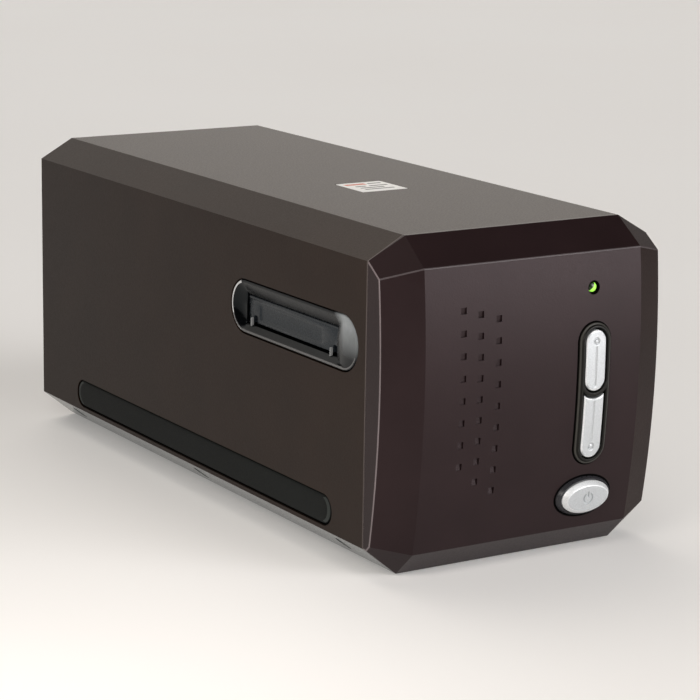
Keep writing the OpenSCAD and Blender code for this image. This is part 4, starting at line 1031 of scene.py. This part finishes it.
def side_strip(s, name, node):
    """A rubber strip with soft ends, painted highlights on them, in a groove lined with painted
    shadow.
    """
    def ring(short, inset, depth):
        return at_side(s, stadium(STRIP_Y + 0.35, STRIP_Z + 0.1, STRIP_L - 1.1 - 2 * short,
                                  STRIP_H - 0.6 - 2 * inset, STRIP_POINTS), depth)

    loops = [ring(short, inset, depth) for short, inset, depth in
             ((0, 0, 0.78), (0, 0, 0.62), (0.06, 0.06, 0.46), (0.22, 0.2, 0.34), (1.9, 0.7, 0.12),
              (2.3, 1.0, 0.06), (3.4, 1.9, 0.02), (5.0, 3.6, 0.0), (5.4, 4.6, 0.0))]
    obj = place(name, *solid(loops), "rubber", BODY_OF[node], (node,))

    def on_end(p, n):
        return abs(p.y - STRIP_Y) > STRIP_L / 2 - 5 and 0.1 < HALF_W - abs(p.x) < 0.3

    # Painted highlight: the rolled ends are coloured lighter
    finish_where(obj, "rubber_end_highlight", on_end)
    crisp(obj, 40)
    # Painted shadow lining the groove around the strip
    shadow_ring(name + "_groove_shadow", node,
         [at_side(s, stadium(STRIP_Y, STRIP_Z, STRIP_L - inset, STRIP_H - inset, STRIP_POINTS),
                  depth) for inset, depth in ((0.04, 0.3), (0.5, 0.55), (1.4, 0.7))])


side_strip(-1, "left_strip", "left_side_strip")
side_strip(1, "right_strip", "right_side_strip")


def top_label():
    """The label's film, with round corners and a soft upper edge."""
    def ring(inset, radius, z):
        hw, hl = LABEL_W / 2 - inset, LABEL_L / 2 - inset
        return [(x, y, z) for x, y in soft_box(-hw, hw, LABEL_Y - hl, LABEL_Y + hl, radius)]

    loops = [ring(0, 1.0, BODY_H - 0.1), ring(0, 1.0, BODY_H - 0.03),
             ring(0.06, 0.95, BODY_H - 0.005), ring(0.2, 0.85, BODY_H)]
    place("label_sheet", *solid(loops), "label", BODY_OF["top_label"], ("top_label",))


top_label()

# ---- Stage ----


def make_floor():
    g = Graph("floor")
    cloud = g.noise(3.0, 2.0)
    half = 9
    mesh = bpy.data.meshes.new("floor")
    mesh.from_pydata([(-half, -half, 0), (half, -half, 0), (half, half, 0), (-half, half, 0)],
                     [], [(0, 1, 2, 3)])
    mesh.materials.append(g.set(
        Base_Color=g.mix(cloud, rgb(0.78, 0.765, 0.75), rgb(0.82, 0.805, 0.79)),
        Emission_Color=g.mix(cloud, rgb(1.0, 0.98, 0.95), rgb(1.0, 0.99, 0.97)),
        Emission_Strength=0.2, Roughness=0.9, Specular_IOR_Level=0.1))
    obj = bpy.data.objects.new("floor", mesh)
    scene.collection.objects.link(obj)


make_floor()

AIM = Vector((0, -0.05, 0.07))


def area_light(name, location, side, power, colour):
    """A square light that faces the part."""
    data = bpy.data.lights.new(name, "AREA")
    data.shape = "RECTANGLE"
    data.size = data.size_y = side
    data.energy = power
    data.color = colour
    obj = bpy.data.objects.new(name, data)
    obj.location = location
    obj.rotation_euler = (AIM - Vector(location)).to_track_quat("-Z", "Y").to_euler()
    scene.collection.objects.link(obj)


area_light("left_front", (-0.295, -0.242, 0.212), 0.15, 0.5, (1.0, 0.94, 0.88))
area_light("low_right", (0.3179, -0.5588, 0.11), 0.2, 0.38, (1.0, 0.97, 0.98))

WARM, PLAIN, COOL = (1.06, 1.0, 0.93), (1.01, 1.0, 0.99), (1.0, 0.98, 1.0)
# Round soft lights in the sky: angle from the front towards the right, angle above the floor,
# angular radius, strength and colour
SKY = ((36, 6, 26, 5.2, COOL), (144, 6, 26, 1.35, WARM), (176, 8, 20, 0.7, WARM),
       (216, 6, 26, 0.9, WARM), (18, 30, 30, 2.1, PLAIN), (319, 46, 20, 1.6, PLAIN),
       (177, 35, 22, 0.5, WARM), (180, 58, 34, 1.8, WARM))


def make_world():
    world = bpy.data.worlds.new("studio")
    scene.world = world
    world.use_nodes = True
    tree = world.node_tree

    def vector_math(operation):
        node = tree.nodes.new("ShaderNodeVectorMath")
        node.operation = operation
        return node

    def soft_patch(phi, rise, width, strength, colour):
        phi, rise, width = math.radians(phi), math.radians(rise), math.radians(width)
        dot = vector_math("DOT_PRODUCT")
        dot.inputs[1].default_value = (math.sin(phi) * math.cos(rise),
                                       -math.cos(phi) * math.cos(rise), math.sin(rise))
        tree.links.new(unit.outputs[0], dot.inputs[0])
        fade = tree.nodes.new("ShaderNodeMapRange")
        fade.interpolation_type = "SMOOTHSTEP"
        fade.inputs["From Min"].default_value = math.cos(width)
        fade.inputs["From Max"].default_value = math.cos(width * 0.15)
        tree.links.new(dot.outputs["Value"], fade.inputs["Value"])
        tint = vector_math("SCALE")
        tint.inputs[0].default_value = [c * strength for c in colour]
        tree.links.new(fade.outputs[0], tint.inputs["Scale"])
        return tint.outputs[0]

    unit = vector_math("NORMALIZE")
    tree.links.new(tree.nodes.new("ShaderNodeTexCoord").outputs["Generated"], unit.inputs[0])
    total = soft_patch(*SKY[0])
    for patch in SKY[1:]:
        add = vector_math("ADD")
        tree.links.new(total, add.inputs[0])
        tree.links.new(soft_patch(*patch), add.inputs[1])
        total = add.outputs[0]
    background = tree.nodes["Background"].inputs
    tree.links.new(total, background["Color"])
    background["Strength"].default_value = 1.0


make_world()
scene.view_settings.view_transform = "Standard"
